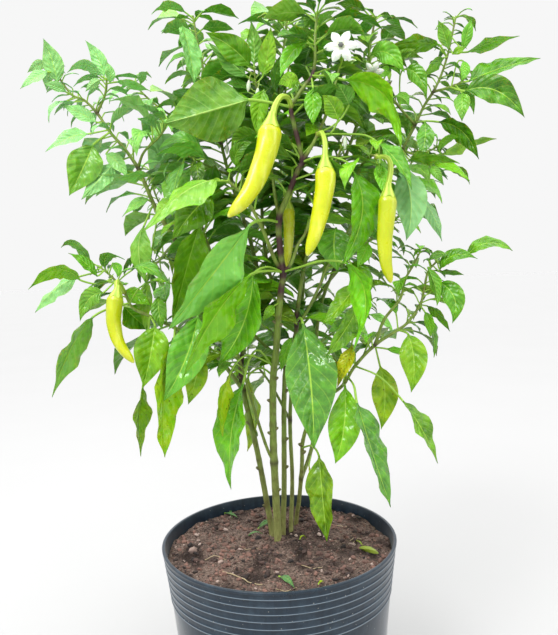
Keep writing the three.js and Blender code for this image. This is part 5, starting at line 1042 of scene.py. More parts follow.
# Leaves
# Thin ovate blades with a drawn-out tip, folded up along a pale midrib with seven or eight curved veins a
# side and waved at the edges. They are deep green and glossy above and pale and dull below, and each is on a
# channelled green stalk.
# Each plain leaf: its stem, the face that shows, the width seen in pixels, and its spots. The last three
# are the blade's base, middle and tip, and those before them run along its stalk.
shown_leaves = [
    ("front", "under", 60, [(291, 107, 50), (272, 103, 58), (248, 100, 62), (206, 112, 80), (163, 124, 92)]),
    ("front", "top", 38, [(280, 222, 39), (265, 220, 60), (250, 225, 74), (208, 280, 96), (168, 330, 108)]),
    ("front", "top", 26, [(283, 272, 32), (266, 271, 56), (250, 275, 66), (212, 320, 80), (182, 380, 92)]),
    ("front", "top", 36, [(283, 272, 32), (267, 267, 46), (253, 275, 54), (243, 325, 62), (217, 366, 66)]),
    ("front", "top", 10, [(278, 302, 25), (274, 306, 34), (269, 312, 38), (262, 322, 40)]),
    ("front", "top", 29,
     [(302, 162, 46), (321, 156, 60), (345, 161, 72), (353, 172, 76), (362, 214, 82), (341, 266, 88)]),
    ("front", "top", 13,
     [(318, 134, 56), (342, 134, 60), (364, 135, 64), (376, 141, 66), (398, 163, 68), (412, 190, 70)]),
    ("front", "top", 25, [(312, 76, 46), (328, 76, 60), (345, 80, 68), (387, 98, 84), (401, 150, 94)]),
    ("front", "under", 20, [(318, 134, 56), (338, 122, 60), (349, 105, 58), (344, 94, 62), (337, 83, 66)]),
    ("front", "top", 17, [(311, 78, 46), (313, 88, 60), (313, 107, 66), (313, 126, 68)]),
    ("front", "top", 19, [(318, 134, 56), (330, 134, 68), (338, 120, 74), (332, 105, 80), (322, 95, 84)]),
    ("front", "top", 15, [(303, 87, 48), (298, 82, 54), (288, 80, 60), (278, 85, 64)]),
    ("front", "top", 14, [(315, 45, 39), (306, 43, 50), (291, 54, 56), (280, 78, 60)]),
    ("front", "top", 19,
     [(283, 272, 32), (300, 267, 52), (322, 261, 70), (346, 263, 80), (366, 300, 94), (352, 353, 102)]),
    ("front", "under", 22, [(228, 181, 60), (218, 181, 66), (184, 193, 84), (141, 234, 98)]),
    ("front", "top", 38, [(214, 305, 16), (198, 315, 50), (186, 358, 66), (163, 402, 76)]),
    ("front", "top", 26,
     [(273, 370, 15), (259, 350, 24), (249, 360, 28), (243, 384, 30), (231, 438, 40), (231, 490, 46)]),
    ("front", "top", 11,
     [(273, 366, 16), (250, 355, 34), (237, 362, 40), (230, 374, 42), (221, 405, 46), (223, 437, 48)]),
    ("front", "top", 18,
     [(273, 374, 15), (262, 368, 2), (252, 372, -2), (248, 379, -4), (255, 415, -2), (247, 452, 2)]),
    ("front", "top", 14, [(246, 168, 30), (236, 166, 44), (238, 150, 52), (254, 142, 56)]),
    ("front", "top", 18, [(262, 106, 6), (264, 90, 16), (258, 112, 22), (257, 136, 24)]),
    ("front", "under", 15, [(256, 80, 6), (246, 76, 14), (228, 60, 20), (208, 42, 26)]),
    ("front", "top", 24, [(254, 68, 6), (250, 66, 12), (231, 47, 18), (205, 32, 26)]),
    ("front", "under", 17, [(254, 68, 6), (254, 64, 4), (254, 44, 4), (251, 20, 8)]),
    ("front", "top", 17, [(256, 84, 6), (263, 76, 4), (268, 52, 6), (271, 26, 12)]),
    ("front", "top", 8, [(258, 94, 6), (250, 88, 2), (238, 84, 0), (225, 83, 0)]),
    ("left", "top", 28, [(175, 328, 26), (174, 340, 50), (164, 400, 66), (165, 458, 72)]),
    ("left", "top", 34, [(150, 316, 33), (155, 326, 44), (150, 358, 54), (143, 388, 58)]),
    ("left", "top", 10, [(150, 316, 33), (147, 350, 36), (143, 386, 38), (139, 420, 42), (141, 457, 44)]),
    ("left", "top", 22, [(200, 340, 14), (200, 352, 24), (196, 378, 30), (188, 405, 34)]),
    ("left", "top", 18, [(113, 282, 42), (103, 293, 52), (88, 300, 58), (80, 322, 62)]),
    ("left", "top", 20, [(126, 306, 40), (108, 309, 50), (93, 317, 58), (70, 350, 68), (52, 398, 76)]),
    ("left", "under", 20, [(154, 205, 12), (144, 226, 26), (139, 252, 34), (146, 284, 38)]),
    ("left", "top", 14, [(158, 213, 12), (147, 281, 14), (147, 308, 20), (148, 336, 24)]),
    ("left", "top", 32, [(110, 132, 8), (93, 145, 22), (83, 168, 32), (69, 196, 38)]),
    ("left", "top", 12, [(108, 130, 8), (88, 134, 16), (68, 138, 24), (45, 152, 30)]),
    ("left", "under", 18, [(130, 157, 11), (115, 163, 22), (99, 180, 30), (81, 200, 36)]),
    ("left", "top", 14, [(118, 141, 9), (106, 154, 18), (118, 163, 26), (128, 178, 30)]),
    ("left", "top", 18, [(60, 80, 12), (57, 82, 16), (52, 60, 16), (43, 38, 20)]),
    ("left", "top", 9, [(54, 70, 12), (47, 64, 16), (38, 65, 20), (27, 73, 22)]),
    ("left", "top", 9, [(56, 74, 12), (47, 72, 22), (34, 78, 28), (20, 89, 30)]),
    ("left", "top", 9, [(74, 95, 10), (66, 92, 18), (56, 86, 24), (44, 84, 28)]),
    ("left", "top", 11, [(107, 80, 18), (101, 76, 20), (84, 64, 22), (67, 73, 28)]),
    ("left", "top", 14, [(107, 80, 18), (104, 76, 14), (98, 58, 12), (85, 40, 14)]),
    ("left", "top", 9, [(107, 78, 18), (110, 82, 22), (110, 72, 26), (106, 61, 28)]),
    ("left", "under", 8, [(107, 80, 18), (100, 80, 26), (93, 84, 30), (85, 92, 32)]),
    ("left", "top", 12, [(104, 124, 8), (96, 122, 12), (78, 112, 14), (61, 105, 18)]),
    ("left", "top", 8, [(107, 84, 17), (117, 82, 20), (133, 84, 24), (150, 91, 26)]),
    ("left", "top", 9, [(143, 178, 12), (150, 175, 20), (132, 176, 26), (112, 180, 30)]),
    ("left", "top", 14, [(196, 160, 4), (205, 158, 14), (181, 146, 26), (155, 156, 34)]),
    ("left", "top", 12, [(200, 162, -2), (202, 150, 0), (180, 139, 6), (158, 150, 10)]),
    ("left", "top", 9, [(152, 200, 12), (149, 200, 18), (138, 203, 22), (122, 217, 26)]),
    ("left", "top", 16, [(124, 292, 42), (124, 293, 30), (136, 296, 24), (151, 306, 20)]),
    ("left", "top", 26, [(133, 308, 38), (124, 306, 28), (134, 317, 22), (150, 330, 20)]),
    ("left", "top", 16, [(155, 318, 32), (158, 297, 36), (159, 312, 42), (162, 330, 44)]),
    ("left", "top", 15, [(113, 278, 42), (98, 284, 46), (80, 280, 50), (56, 270, 56), (28, 290, 62)]),
    ("left", "under", 12, [(104, 271, 42), (78, 277, 40), (53, 292, 42), (35, 313, 46)]),
    ("left", "top", 9, [(100, 267, 42), (91, 262, 44), (74, 243, 46), (61, 248, 50)]),
    ("left", "top", 10, [(104, 270, 42), (97, 276, 48), (84, 262, 54), (68, 253, 58)]),
    ("left", "top", 9, [(107, 273, 42), (105, 268, 50), (108, 255, 56), (125, 260, 60)]),
    ("left", "top", 9, [(110, 274, 42), (113, 263, 48), (118, 269, 54), (117, 278, 56)]),
    ("left", "top", 11, [(116, 283, 42), (125, 275, 50), (132, 270, 54), (147, 268, 60), (171, 286, 64)]),
    ("left", "top", 18, [(198, 45, -50), (182, 25, -28), (190, 55, -16), (194, 86, -10)]),
    ("middle", "top", 36, [(198, 210, 28), (212, 195, 40), (193, 212, 50), (172, 240, 54)]),
    ("middle", "top", 32, [(204, 232, 26), (208, 218, 36), (200, 224, 45), (186, 270, 56), (172, 325, 60)]),
    ("middle", "top", 50, [(296, 322, -14), (300, 318, 14), (303, 324, 30), (311, 386, 52), (314, 450, 60)]),
    ("middle", "top", 13, [(293, 345, -16), (292, 338, -4), (285, 354, 4), (281, 372, 8)]),
    ("middle", "top", 19, [(340, 246, 18), (350, 262, 44), (357, 283, 52), (342, 304, 60), (322, 325, 64)]),
    ("middle", "top", 12, [(276, 120, -50), (275, 92, -26), (277, 70, -20), (289, 46, -16)]),
    ("middle", "top", 34, [(340, 246, 18), (336, 228, 26), (334, 248, 34), (338, 272, 38)]),
    ("middle", "top", 15, [(352, 222, 22), (368, 243, 38), (364, 254, 42), (357, 268, 44)]),
    ("right", "under", 32,
     [(392, 166, -12), (398, 160, 30), (401, 166, 44), (411, 202, 56), (406, 241, 60)]),
    ("right", "top", 17, [(417, 122, 1), (426, 121, 14), (439, 122, 20), (463, 132, 30), (479, 160, 38)]),
    ("right", "top", 17, [(417, 122, 1), (425, 122, 28), (425, 140, 36), (420, 156, 40)]),
    ("right", "top", 10, [(402, 150, -8), (410, 160, 30), (434, 155, 38), (460, 164, 46)]),
    ("right", "top", 9, [(424, 152, 10), (431, 163, 18), (450, 167, 24), (470, 181, 30)]),
    ("right", "top", 9, [(428, 151, 11), (431, 166, 30), (437, 174, 34), (444, 185, 38)]),
    ("right", "top", 8, [(438, 146, 14), (438, 150, 20), (447, 139, 24), (460, 137, 28)]),
    ("right", "top", 6, [(438, 146, 14), (442, 155, 10), (467, 142, 10), (497, 139, 12)]),
    ("right", "top", 14, [(461, 82, 18), (469, 81, 24), (502, 68, 32), (541, 58, 40)]),
    ("right", "top", 24, [(450, 87, 14), (465, 91, 30), (497, 91, 44), (525, 118, 52)]),
    ("right", "top", 15, [(456, 85, 16), (462, 93, 28), (462, 106, 34), (462, 122, 38)]),
    ("right", "top", 16, [(447, 57, 12), (439, 45, 20), (411, 43, 26), (379, 50, 32)]),
    ("right", "top", 10, [(449, 52, 12), (468, 52, 16), (492, 42, 22), (520, 36, 28)]),
    ("right", "top", 12, [(452, 38, 12), (448, 48, 20), (444, 34, 22), (438, 20, 26)]),
    ("right", "top", 10, [(452, 38, 12), (463, 50, 22), (467, 34, 24), (472, 18, 26)]),
    ("right", "top", 7, [(450, 48, 12), (453, 54, 20), (459, 50, 24), (466, 47, 26)]),
    ("right", "top", 9, [(452, 87, 14), (457, 63, 16), (463, 61, 18), (465, 71, 21), (461, 82, 22)]),
    ("right", "top", 9, [(447, 57, 12), (443, 58, 20), (433, 66, 24), (421, 78, 28)]),
    ("right", "top", 16, [(400, 108, 10), (400, 76, 18), (406, 69, 24), (419, 77, 30), (427, 99, 34)]),
    ("right", "top", 20, [(370, 62, 22), (371, 55, 30), (388, 53, 38), (405, 73, 42)]),
    ("right", "top", 9, [(374, 68, 21), (394, 62, 26), (404, 54, 30), (416, 49, 34)]),
    ("right", "top", 9, [(376, 72, 20), (391, 70, 26), (384, 72, 32), (375, 81, 36)]),
    ("right", "under", 13, [(396, 160, -12), (421, 200, 10), (433, 216, 16), (442, 242, 20)]),
    ("right", "under", 12, [(393, 98, 14), (396, 96, 24), (404, 99, 30), (409, 106, 32)]),
    ("right", "top", 22, [(343, 385, 8), (360, 303, 28), (345, 330, 40), (325, 357, 46)]),
    ("right", "top", 32, [(343, 385, 8), (345, 386, 34), (344, 428, 50), (335, 464, 56)]),
    ("right", "top", 20, [(349, 376, 11), (354, 386, 44), (357, 403, 54), (374, 458, 70), (391, 508, 76)]),
    ("right", "top", 12, [(355, 366, 15), (380, 377, 36), (403, 401, 48), (422, 430, 56), (438, 464, 60)]),
    ("right", "top", 26, [(375, 345, 21), (380, 366, 10), (385, 396, 6), (381, 430, 8)]),
    ("right", "top", 27, [(398, 330, 25), (408, 334, 40), (414, 362, 50), (411, 393, 54)]),
    ("right", "top", 10, [(420, 305, 29), (425, 312, 36), (430, 324, 40), (430, 338, 42)]),
    ("right", "top", 7, [(420, 305, 29), (430, 320, 26), (434, 338, 28), (434, 358, 30)]),
    ("right", "top", 21, [(428, 272, 30), (440, 282, 40), (455, 300, 50), (452, 324, 52)]),
    ("right", "under", 11, [(430, 268, 30), (428, 268, 40), (436, 288, 48), (437, 306, 50)]),
    ("right", "top", 9, [(420, 305, 29), (427, 306, 20), (440, 316, 20), (450, 332, 22)]),
    ("right", "top", 13, [(437, 261, 30), (440, 269, 38), (455, 255, 44), (478, 259, 50)]),
    ("right", "top", 12, [(436, 263, 30), (466, 256, 36), (488, 243, 42), (513, 251, 48)]),
    ("right", "top", 6, [(433, 266, 30), (440, 272, 28), (452, 272, 30), (464, 275, 32)]),
    ("right", "under", 8, [(431, 269, 30), (429, 260, 34), (438, 254, 40), (449, 256, 44)]),
    ("right", "top", 14, [(355, 366, 15), (352, 346, 26), (345, 366, 36), (337, 388, 38)]),
    ("right", "top", 26, [(303, 448, -33), (312, 446, -6), (319, 456, 16), (323, 500, 34), (327, 542, 42)]),
]
# How a leaf may be moved aside to clear its neighbours: mm nearer at base, middle and tip, and radians round
# its branch.
asides = [((0, 0, 0), 0), ((0, 8, 14), 0.6), ((0, -8, -14), -0.6), ((6, 20, 32), 1.2),
          ((-6, -18, -28), -1.2), ((12, 36, 54), 1.9), ((-10, -30, -46), -1.9), ((20, 52, 74), 2.5)]
golden_angle = 2.4
natural_width = 0.4
large_half = 12 * mm
fold_rise, small_fold = 0.28, 0.16
arch_rise = 0.07
edge_lift, edge_wave = 0.14, 0.1
blade_gauge = 0.5 * mm
match_gap = 0.05 * mm
# The finish of leaves that stand out, by their tip's spot: shares of bright green, yellow, blue (painted
# sheen) and gloss.
tip_looks = {
    (163, 124): (0.2, 0.1, 0.0, 0.5), (168, 330): (1.0, 0.0, 0.3, 0.8), (182, 380): (0.8, 0.1, 0.0, 0.6),
    (217, 366): (0.4, 0.0, 0.0, 0.8), (163, 402): (0.5, 0.0, 0.1, 1.0), (314, 450): (0.2, 0.0, 0.1, 1.0),
    (341, 266): (0.5, 0.0, 0.0, 0.8), (406, 241): (0.5, 0.0, 0.7, 0.3), (172, 325): (0.5, 0.15, 0.0, 0.5),
    (337, 388): (1.2, 2.4, 0.0, 0.2), (327, 542): (0.2, 0.2, 0.0, 0.5), (231, 490): (0.5, 0.0, 0.0, 0.5),
    (335, 464): (0.6, 0.1, 0.0, 0.7), (325, 357): (0.3, 0.1, 0.0, 0.6), (322, 325): (0.4, 0.2, 0.0, 0.3),
    (401, 150): (0.9, 0.15, 0.0, 0.4), (141, 234): (0.9, 0.15, 0.0, 0.5), (43, 38): (0.4, 0.05, 0.5, 0.1),
    (412, 190): (0.5, 0.0, 0.1, 0.6), (165, 458): (1.0, 0.45, 0.0, 0.7), (141, 457): (0.8, 0.4, 0.0, 0.3),
    (188, 405): (0.6, 0.4, 0.0, 0.3), (143, 388): (0.5, 0.2, 0.0, 0.4), (223, 437): (0.8, 0.6, 0.0, 0.3),
    (247, 452): (0.7, 0.6, 0.0, 0.3), (381, 430): (0.5, 0.4, 0.0, 0.4), (411, 393): (0.5, 0.25, 0.0, 0.5),
    (391, 508): (0.2, 0.0, 0.1, 0.6), (438, 464): (0.2, 0.1, 0.0, 0.5), (172, 240): (0.25, 0.1, 0.0, 0.6),
    (81, 200): (0.7, 0.0, 0.5, 0.3), (35, 313): (0.8, 0.0, 0.5, 0.3), (52, 398): (0.6, 0.1, 0.2, 0.4),
    (442, 242): (0.2, 0.0, 0.6, 0.3), (479, 160): (0.1, 0.0, 0.0, 0.5), (525, 118): (0.15, 0.0, 0.0, 0.1),
    (541, 58): (0.25, 0.0, 0.0, 0.1), (513, 251): (0.3, 0.05, 0.0, 0.2), (478, 259): (0.3, 0.0, 0.0, 0.2),
    (69, 196): (0.4, 0.1, 0.1, 0.4), (194, 86): (0.7, 0.0, 0.4, 0.3),
}
# Leaves at the upper left are painted paler and bluer, a painted haze of strong light: where it begins and
# is full.
painted_light_across = (-70 * mm, -190 * mm)
painted_light_up = (560 * mm, 660 * mm)


def start_leaf_material(name, dark, bright, veins, roughness, sunk):
    """A leaf face: green by the leaf's look, pale veins by its UV, and brown specks where it yellows.

    Side veins lie where 8 v - 1.9 s is a whole number plus a half, v along and s across from the midrib. The
    net of fine veins is drawn 3.5 mm apart, coarser than it grows, so that it shows.
    """
    made, tree, shader = start_material(
        name, {"IOR": 1.5, "Specular IOR Level": 0.35, "Subsurface Weight": 0.1,
               "Subsurface Scale": 1.5 * mm})
    look = add(tree, "Attribute", {"attribute_name": "look"})
    parts = add(tree, "SeparateColor", {}, {"Color": look})
    own = add(tree, "SeparateXYZ", {}, {"Vector": add(tree, "TexCoord").outputs["UV"]})
    where = add(tree, "TexCoord").outputs["Object"]
    signed = add(tree, "Math", {"operation": "MULTIPLY_ADD", 1: 2, 2: -1}, {0: own.outputs["X"]})
    s = add(tree, "Math", {"operation": "ABSOLUTE"}, {0: signed})
    v = add(tree, "Math", {"operation": "MULTIPLY", 1: 8}, {0: own.outputs["Y"]})
    turned = add(tree, "Math", {"operation": "MULTIPLY_ADD", 1: -1.9}, {0: s, 2: v})
    phase = add(tree, "Math", {"operation": "FRACT"}, {0: turned})
    apart = add(tree, "Math", {"operation": "SUBTRACT", 1: 0.5}, {0: phase})
    gap = add(tree, "Math", {"operation": "ABSOLUTE"}, {0: apart})
    side_veins = add(tree, "MapRange", {"From Min": 0.07, "From Max": 0.02, "To Max": 0.22}, {"Value": gap})
    midrib_line = add(tree, "MapRange", {"From Min": 0.045, "From Max": 0.015, "To Max": 0.8}, {"Value": s})
    lines = add(tree, "Math", {"operation": "MAXIMUM"}, {0: side_veins, 1: midrib_line})
    cells = add(tree, "TexVoronoi", {"feature": "DISTANCE_TO_EDGE", "Scale": 1 / (3.5 * mm)},
                {"Vector": where})
    net = add(tree, "MapRange", {"From Min": 0.12, "From Max": 0.02, "To Max": 0.07}, {"Value": cells})
    cloud = add(tree, "TexNoise", {"Scale": 1 / (12 * mm), "Detail": 1}, {"Vector": where})
    tone = add(tree, "Math", {"operation": "MULTIPLY_ADD", 1: 0.9}, {0: cloud, 2: parts.outputs["Red"]})
    share = add(tree, "MapRange", {"From Min": 0.25, "From Max": 1.4}, {"Value": tone})
    green = add(tree, "MixRGB", {"Color1": linear(dark), "Color2": linear(bright)}, {"Fac": share})
    fading = add(tree, "MapRange", {"From Min": 0.35, "From Max": 0.6, "To Min": 0.4}, {"Value": cloud})
    yellowing = add(tree, "Math", {"operation": "MULTIPLY"}, {0: fading, 1: parts.outputs["Green"]})
    yellowed = add(tree, "MixRGB", {"Color2": linear("b8c012")}, {"Color1": green, "Fac": yellowing})
    # Painted sheen and haze: the look's blue share tints the leaf a pale blue-green.
    painted_sheen = add(tree, "MixRGB", {"Color2": linear("8ec886")},
                {"Color1": yellowed, "Fac": parts.outputs["Blue"]})
    netted = add(tree, "MixRGB", {"Color2": linear(veins)}, {"Color1": painted_sheen, "Fac": net})
    veined = add(tree, "MixRGB", {"Color2": linear(veins)}, {"Color1": netted, "Fac": lines})
    dots = add(tree, "TexVoronoi", {"Scale": 1 / (6 * mm)}, {"Vector": where})
    dead = add(tree, "MapRange", {"From Min": 0.2, "From Max": 0.1, "To Max": 0.8}, {"Value": dots})
    ageing = add(tree, "MapRange", {"From Min": 0.16, "From Max": 0.28}, {"Value": yellowing})
    dying = add(tree, "Math", {"operation": "MULTIPLY"}, {0: dead, 1: ageing})
    specked = add(tree, "MixRGB", {"Color2": linear("4a3a14")}, {"Color1": veined, "Fac": dying})
    wax = add(tree, "MapRange", {"To Min": roughness, "To Max": 0.25 * roughness},
              {"Value": look.outputs["Alpha"]})
    way = 1 if sunk else -1
    puffed = add(tree, "Math", {"operation": "MULTIPLY", 1: 0.4 * way}, {0: gap})
    swelling = add(tree, "Math", {"operation": "MULTIPLY_ADD", 1: 2.2}, {0: cloud, 2: puffed})
    height = add(tree, "Math", {"operation": "MULTIPLY_ADD", 1: -0.05 * way}, {0: net, 2: swelling})
    relief = add(tree, "Bump", {"Strength": 0.8, "Distance": 3 * mm}, {"Height": height})
    join(tree, shader, {"Base Color": specked, "Roughness": wax, "Normal": relief})
    return made


# The upper face has a clear wax over deep green, puffed up between sunken veins. The lower one is paler and
# duller, and its veins stand out.
leaf_top = start_leaf_material("waxed upper leaf face", "184408", "70c21a", "a8d048", 0.4, True)
leaf_under = start_leaf_material("dull lower leaf face", "306c18", "6eb032", "acd068", 0.5, False)
stalk_skin, tree, shader = start_material("juicy leaf stalk", {"Roughness": 0.45, "IOR": 1.42})
# Smooth, pale yellow-green, a little darker in its channel.
where = add(tree, "TexCoord").outputs["Object"]
mottle = add(tree, "TexNoise", {"Scale": 1 / (5 * mm), "Detail": 2}, {"Vector": where})
greens = add(tree, "MixRGB", {"Color1": linear("6fa024"), "Color2": linear("a4c850")}, {"Fac": mottle})
join(tree, shader, {"Base Color": greens})
leaf_faces = [leaf_top, leaf_under, stalk_skin]


def blade_outline(t, fullness):
    """Half width along a blade as a share of its widest: sin(pi t^fullness)^1.2."""
    return np.sin(np.pi * t ** fullness) ** 1.2


def midrib(blade, t):
    """The parabola through base, middle and tip: (1 - t)(1 - 2 t), 4 t (1 - t) and t (2 t - 1) of them."""
    t = np.asarray(t, float)
    return np.stack([(1 - t) * (1 - 2 * t), 4 * t * (1 - t), t * (2 * t - 1)], -1) @ blade


def painted_light_share(place):
    """How much a leaf is painted paler for strong light: 0.7 times the shares of the way that it is across
    and up.
    """
    across = (place[0] - painted_light_across[0]) / (painted_light_across[1] - painted_light_across[0])
    up = (place[2] - painted_light_up[0]) / (painted_light_up[1] - painted_light_up[0])
    return 0.7 * np.clip(across, 0, 1) * np.clip(up, 0, 1)


def across_branch(along):
    """Two directions square to a branch, the first of them level."""
    side = np.cross(along, upright)
    side = unit(side) if np.linalg.norm(side) > 0.001 else np.array([1.0, 0, 0])
    return side, unit(np.cross(side, along))


def shown_leaf(leaf, number, aside):
    """A leaf read from the photograph, rolled about its midrib where it looks narrow for its length."""
    stem, face, width, spots = leaf
    spots = np.array(spots, float)
    spots[-3:, 2] += aside[0]
    points = seen(spots)
    base, middle, tip = points[-3:]
    seen_wide = width * np.linalg.norm(middle - eye) / focal
    wide = max(seen_wide, natural_width * np.sum(steps(points[-3:])))
    side = -1 if draw(number, 7) < 0.5 else 1
    # Painted light: leaves at the upper left get more bright green and more of the pale blue-green sheen
    # tint.
    pale = painted_light_share(middle)
    plain = (0.25 + 0.6 * draw(number, 31) + pale, 0.3 * draw(number, 32) ** 2,
             0.15 * draw(number, 33) ** 3 + pale, 0.6 * draw(number, 34))
    return {"stem": stem, "points": points, "half": wide / 2, "wave": 6.3 * draw(number, 8),
            "faces": unit(eye - middle) * (1 if face == "top" else -1),
            "roll": side * np.arccos(max(0.5, seen_wide / wide)),
            "look": tip_looks.get(tuple(spots[-1, :2]), plain)}


def ruled_leaf(route, stem, seed, i, share, long, more_turn=0):
    """A leaf placed by rule: turned by the golden angle from the last, and drooping from base to tip."""
    place = share * (len(route) - 1)
    before = min(int(place), len(route) - 2)
    step = route[before + 1] - route[before]
    root = route[before] + step * (place - before)
    along = unit(step)
    side, over = across_branch(along)
    turn = golden_angle * i + 0.9 * draw(seed, 1) + more_turn
    out = unit(side * np.cos(turn) + over * np.sin(turn) + 0.5 * along + 0.15 * upright)
    heading = unit(np.array([out[0], out[1], 0]) + 0.1 * side)
    start = 0.6 * np.arcsin(out[2]) - 0.1 - 0.35 * draw(seed, 4)
    end = start - 0.5 - 0.8 * draw(seed, 5)
    base = root + out * long * (0.25 + 0.2 * draw(seed, 3))
    middle = base + 0.5 * long * (heading * np.cos(start) + upright * np.sin(start))
    tip = middle + 0.5 * long * (heading * np.cos(end) + upright * np.sin(end))
    half = 0.5 * natural_width * long * (0.9 + 0.25 * draw(seed, 6))
    # Painted light: leaves at the upper left get more bright green and more of the pale blue-green sheen
    # tint.
    pale = painted_light_share(middle)
    look = (draw(seed, 31) + pale, 0.35 * draw(seed, 32) ** 2, 0.12 * draw(seed, 33) ** 3 + pale,
            0.6 * draw(seed, 34))
    return {"stem": stem, "points": np.array([root, base, middle, tip]), "half": half,
            "wave": 6.3 * draw(seed, 8), "faces": upright + 0.35 * heading,
            "roll": 0.9 * (draw(seed, 9) - 0.5), "look": look}


# The scene has the leaves that the CAD solids have: those whose tip, moved aside one way or another, is a
# corner of their stem's solid.
stem_corners = {}
for stem in stem_names:
    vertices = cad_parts["leafy_stem_" + stem].data.vertices
    stem_corners[stem] = KDTree(len(vertices))
    for vertex in vertices:
        stem_corners[stem].insert(vertex.co, vertex.index)
    stem_corners[stem].balance()


def grown(candidates):
    """The first candidate whose tip is a corner of its stem's CAD solid, or None."""
    for leaf in candidates:
        if stem_corners[leaf["stem"]].find(leaf["points"][-1])[2] < match_gap:
            return leaf
    return None


leaves = [grown(shown_leaf(leaf, number, aside) for aside in asides)
          for number, leaf in enumerate(shown_leaves)]
for number, (route, (stem, _, (start_share, count, longest), _)) in enumerate(zip(routes, branches)):
    for i in range(count):
        share = (i + 0.95) / count
        seed = 100 * (number + 1) + i
        long = longest * mm * (1.1 - 0.45 * share) * (0.8 + 0.4 * draw(seed, 2))
        place = start_share + (1 - start_share) * share
        leaves.append(grown(ruled_leaf(route, stem, seed, i, place, long, turn) for _, turn in asides))
leaves = [leaf for leaf in leaves if leaf is not None]
for leaf in leaves:
    leaf["points"][0] = nearest_on(leaf["stem"], leaf["points"][0])


def leaf_skins(leaves, above, below, stalk_rows, blade_rows):
    """Closed skins of many leaves at once, with the material, UV and look of their faces and points.

    A point at share t along and s across lies width s to the side of the midrib, with width the half width
    times the outline. It lies width (fold |s|^1.2 + arch sin(pi |s|)) above it, less the lift s, plus
    a finer wave at the edge. Rows near the base turn from the stalk's circle to this section.
    """
    points = [leaf["points"] for leaf in leaves]
    blade = np.array([p[-3:] for p in points])
    half, roll, wave, faces, looks = (np.array([leaf[key] for leaf in leaves])
                                      for key in ("half", "roll", "wave", "faces", "look"))
    half, roll, wave = (part[:, None, None] for part in (half, roll, wave))
    u = np.linspace(0, 1, blade_rows)
    t = 0.985 * (u - 0.09 * np.sin(2 * np.pi * u))
    stalks = np.array([curve([*p[:-2], midrib(p[-3:], 0.22)],
                             np.linspace(0, len(p) - 3, stalk_rows, endpoint=False)) for p in points])
    middles = np.concatenate([stalks, midrib(blade, t)], 1)
    along = unit(np.gradient(middles, axis=1))
    across = unit(np.cross(blade[:, 2] - blade[:, 0], faces))
    sides = np.zeros_like(middles)
    sides[:, stalk_rows:] = square_to(across[:, None], along[:, stalk_rows:])
    for row in reversed(range(stalk_rows)):
        sides[:, row] = square_to(sides[:, row + 1], along[:, row])
    sides = sides * np.cos(roll) + np.cross(sides, along) * np.sin(roll)
    normals = np.cross(sides, along)

    s = np.array(above + below)
    is_top = np.arange(len(s)) < len(above)
    angle = np.where(is_top, 0.5, -0.5) * np.pi * (1 - s)
    rows = np.concatenate([np.zeros(stalk_rows), t])[None, :, None]
    down = np.concatenate([np.linspace(0, 1, stalk_rows), np.ones(blade_rows)])[None, :, None]
    thinning = (0.8 + 0.2 * down + 0.35 * np.exp(-(down / 0.1) ** 2)) * (1 - 0.6 * rows)
    radius = (0.75 * mm + 0.03 * half) * thinning
    channel = 1 - 0.25 * np.exp(-((angle - np.pi / 2) / 0.5) ** 2)
    width = half * blade_outline(np.maximum(rows, 1e-9), 0.7 + 0.03 * wave) + radius * (1 - rows) ** 8
    lift = edge_lift * width * np.sin(wave + 9 * rows)
    finer = np.sin(2.3 * wave + 17 * rows + 2 * np.sign(s)) + 0.6 * np.sin(29 * rows + wave)
    fold = np.where(half > large_half, fold_rise, small_fold)
    sheet = (width * (fold * np.abs(s) ** 1.2 + arch_rise * np.sin(np.pi * np.abs(s))) - s * lift
             + edge_wave * width * s ** 2 * finer)
    rib = np.exp(-(width * s / radius) ** 2) * radius
    gauge = 0.5 * blade_gauge * (1 - s ** 4)
    over = sheet + np.where(is_top, gauge - 0.2 * rib, -gauge - 0.8 * rib)
    bladed = np.clip(rows / 0.09, 0, 1)
    bladed = bladed * bladed * (3 - 2 * bladed)
    x = (1 - bladed) * radius * np.cos(angle) + bladed * width * s
    y = (1 - bladed) * radius * channel * np.sin(angle) + bladed * over
    rings = middles[:, :, None] + sides[:, :, None] * x[..., None] + normals[:, :, None] * y[..., None]
    skin = skin_rings(np.clip(rings, *cad_box), ends=blade[:, 2])

    count, row_count, around = rings.shape[:3]
    on_top = np.arange(around) < len(above) - 1
    which = np.where(np.arange(row_count - 1)[:, None] < stalk_rows, 2, np.where(on_top, 0, 1))
    which = np.concatenate([np.tile(which.ravel(), count), np.full(count * around, 2),
                            np.tile(np.where(on_top, 0, 1), count)])
    uv = np.zeros((count, row_count, around, 2))
    uv[..., 0] = (s + 1) / 2
    uv[..., 1] = rows - 0.2 * (1 - down)
    uv = np.concatenate([uv.reshape(-1, 2), np.repeat([(0.5, -0.2), (0.5, 1.0)], count, 0)])
    return skin, which, uv, per_point(row_count, around, looks)


# How finely leaves are drawn: places across the upper face, places back across the lower one, rows along the
# stalk and rows along the blade.
large_shape = ([-1, -0.8, -0.55, -0.3, -0.1, 0, 0.1, 0.3, 0.55, 0.8, 1],
               [0.8, 0.55, 0.3, 0.1, 0, -0.1, -0.3, -0.55, -0.8], 10, 26)
small_shape = ([-1, -0.6, -0.18, 0, 0.18, 0.6, 1], [0.6, 0.18, 0, -0.18, -0.6], 6, 13)
for stem in stem_names:
    for size, shape in (("large", large_shape), ("small", small_shape)):
        own = [leaf for leaf in leaves if leaf["stem"] == stem]
        chosen = [leaf for leaf in own if (leaf["half"] > large_half) == (size == "large")]
        if not chosen:
            continue
        skin, which, uv, looks = leaf_skins(chosen, *shape)
        piece = new_piece(f"{size}_leaves_{stem}", skin, leaf_faces, which, uv, looks, crease=70)
        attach(piece, "root")
        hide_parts("leafy_stem_" + stem)

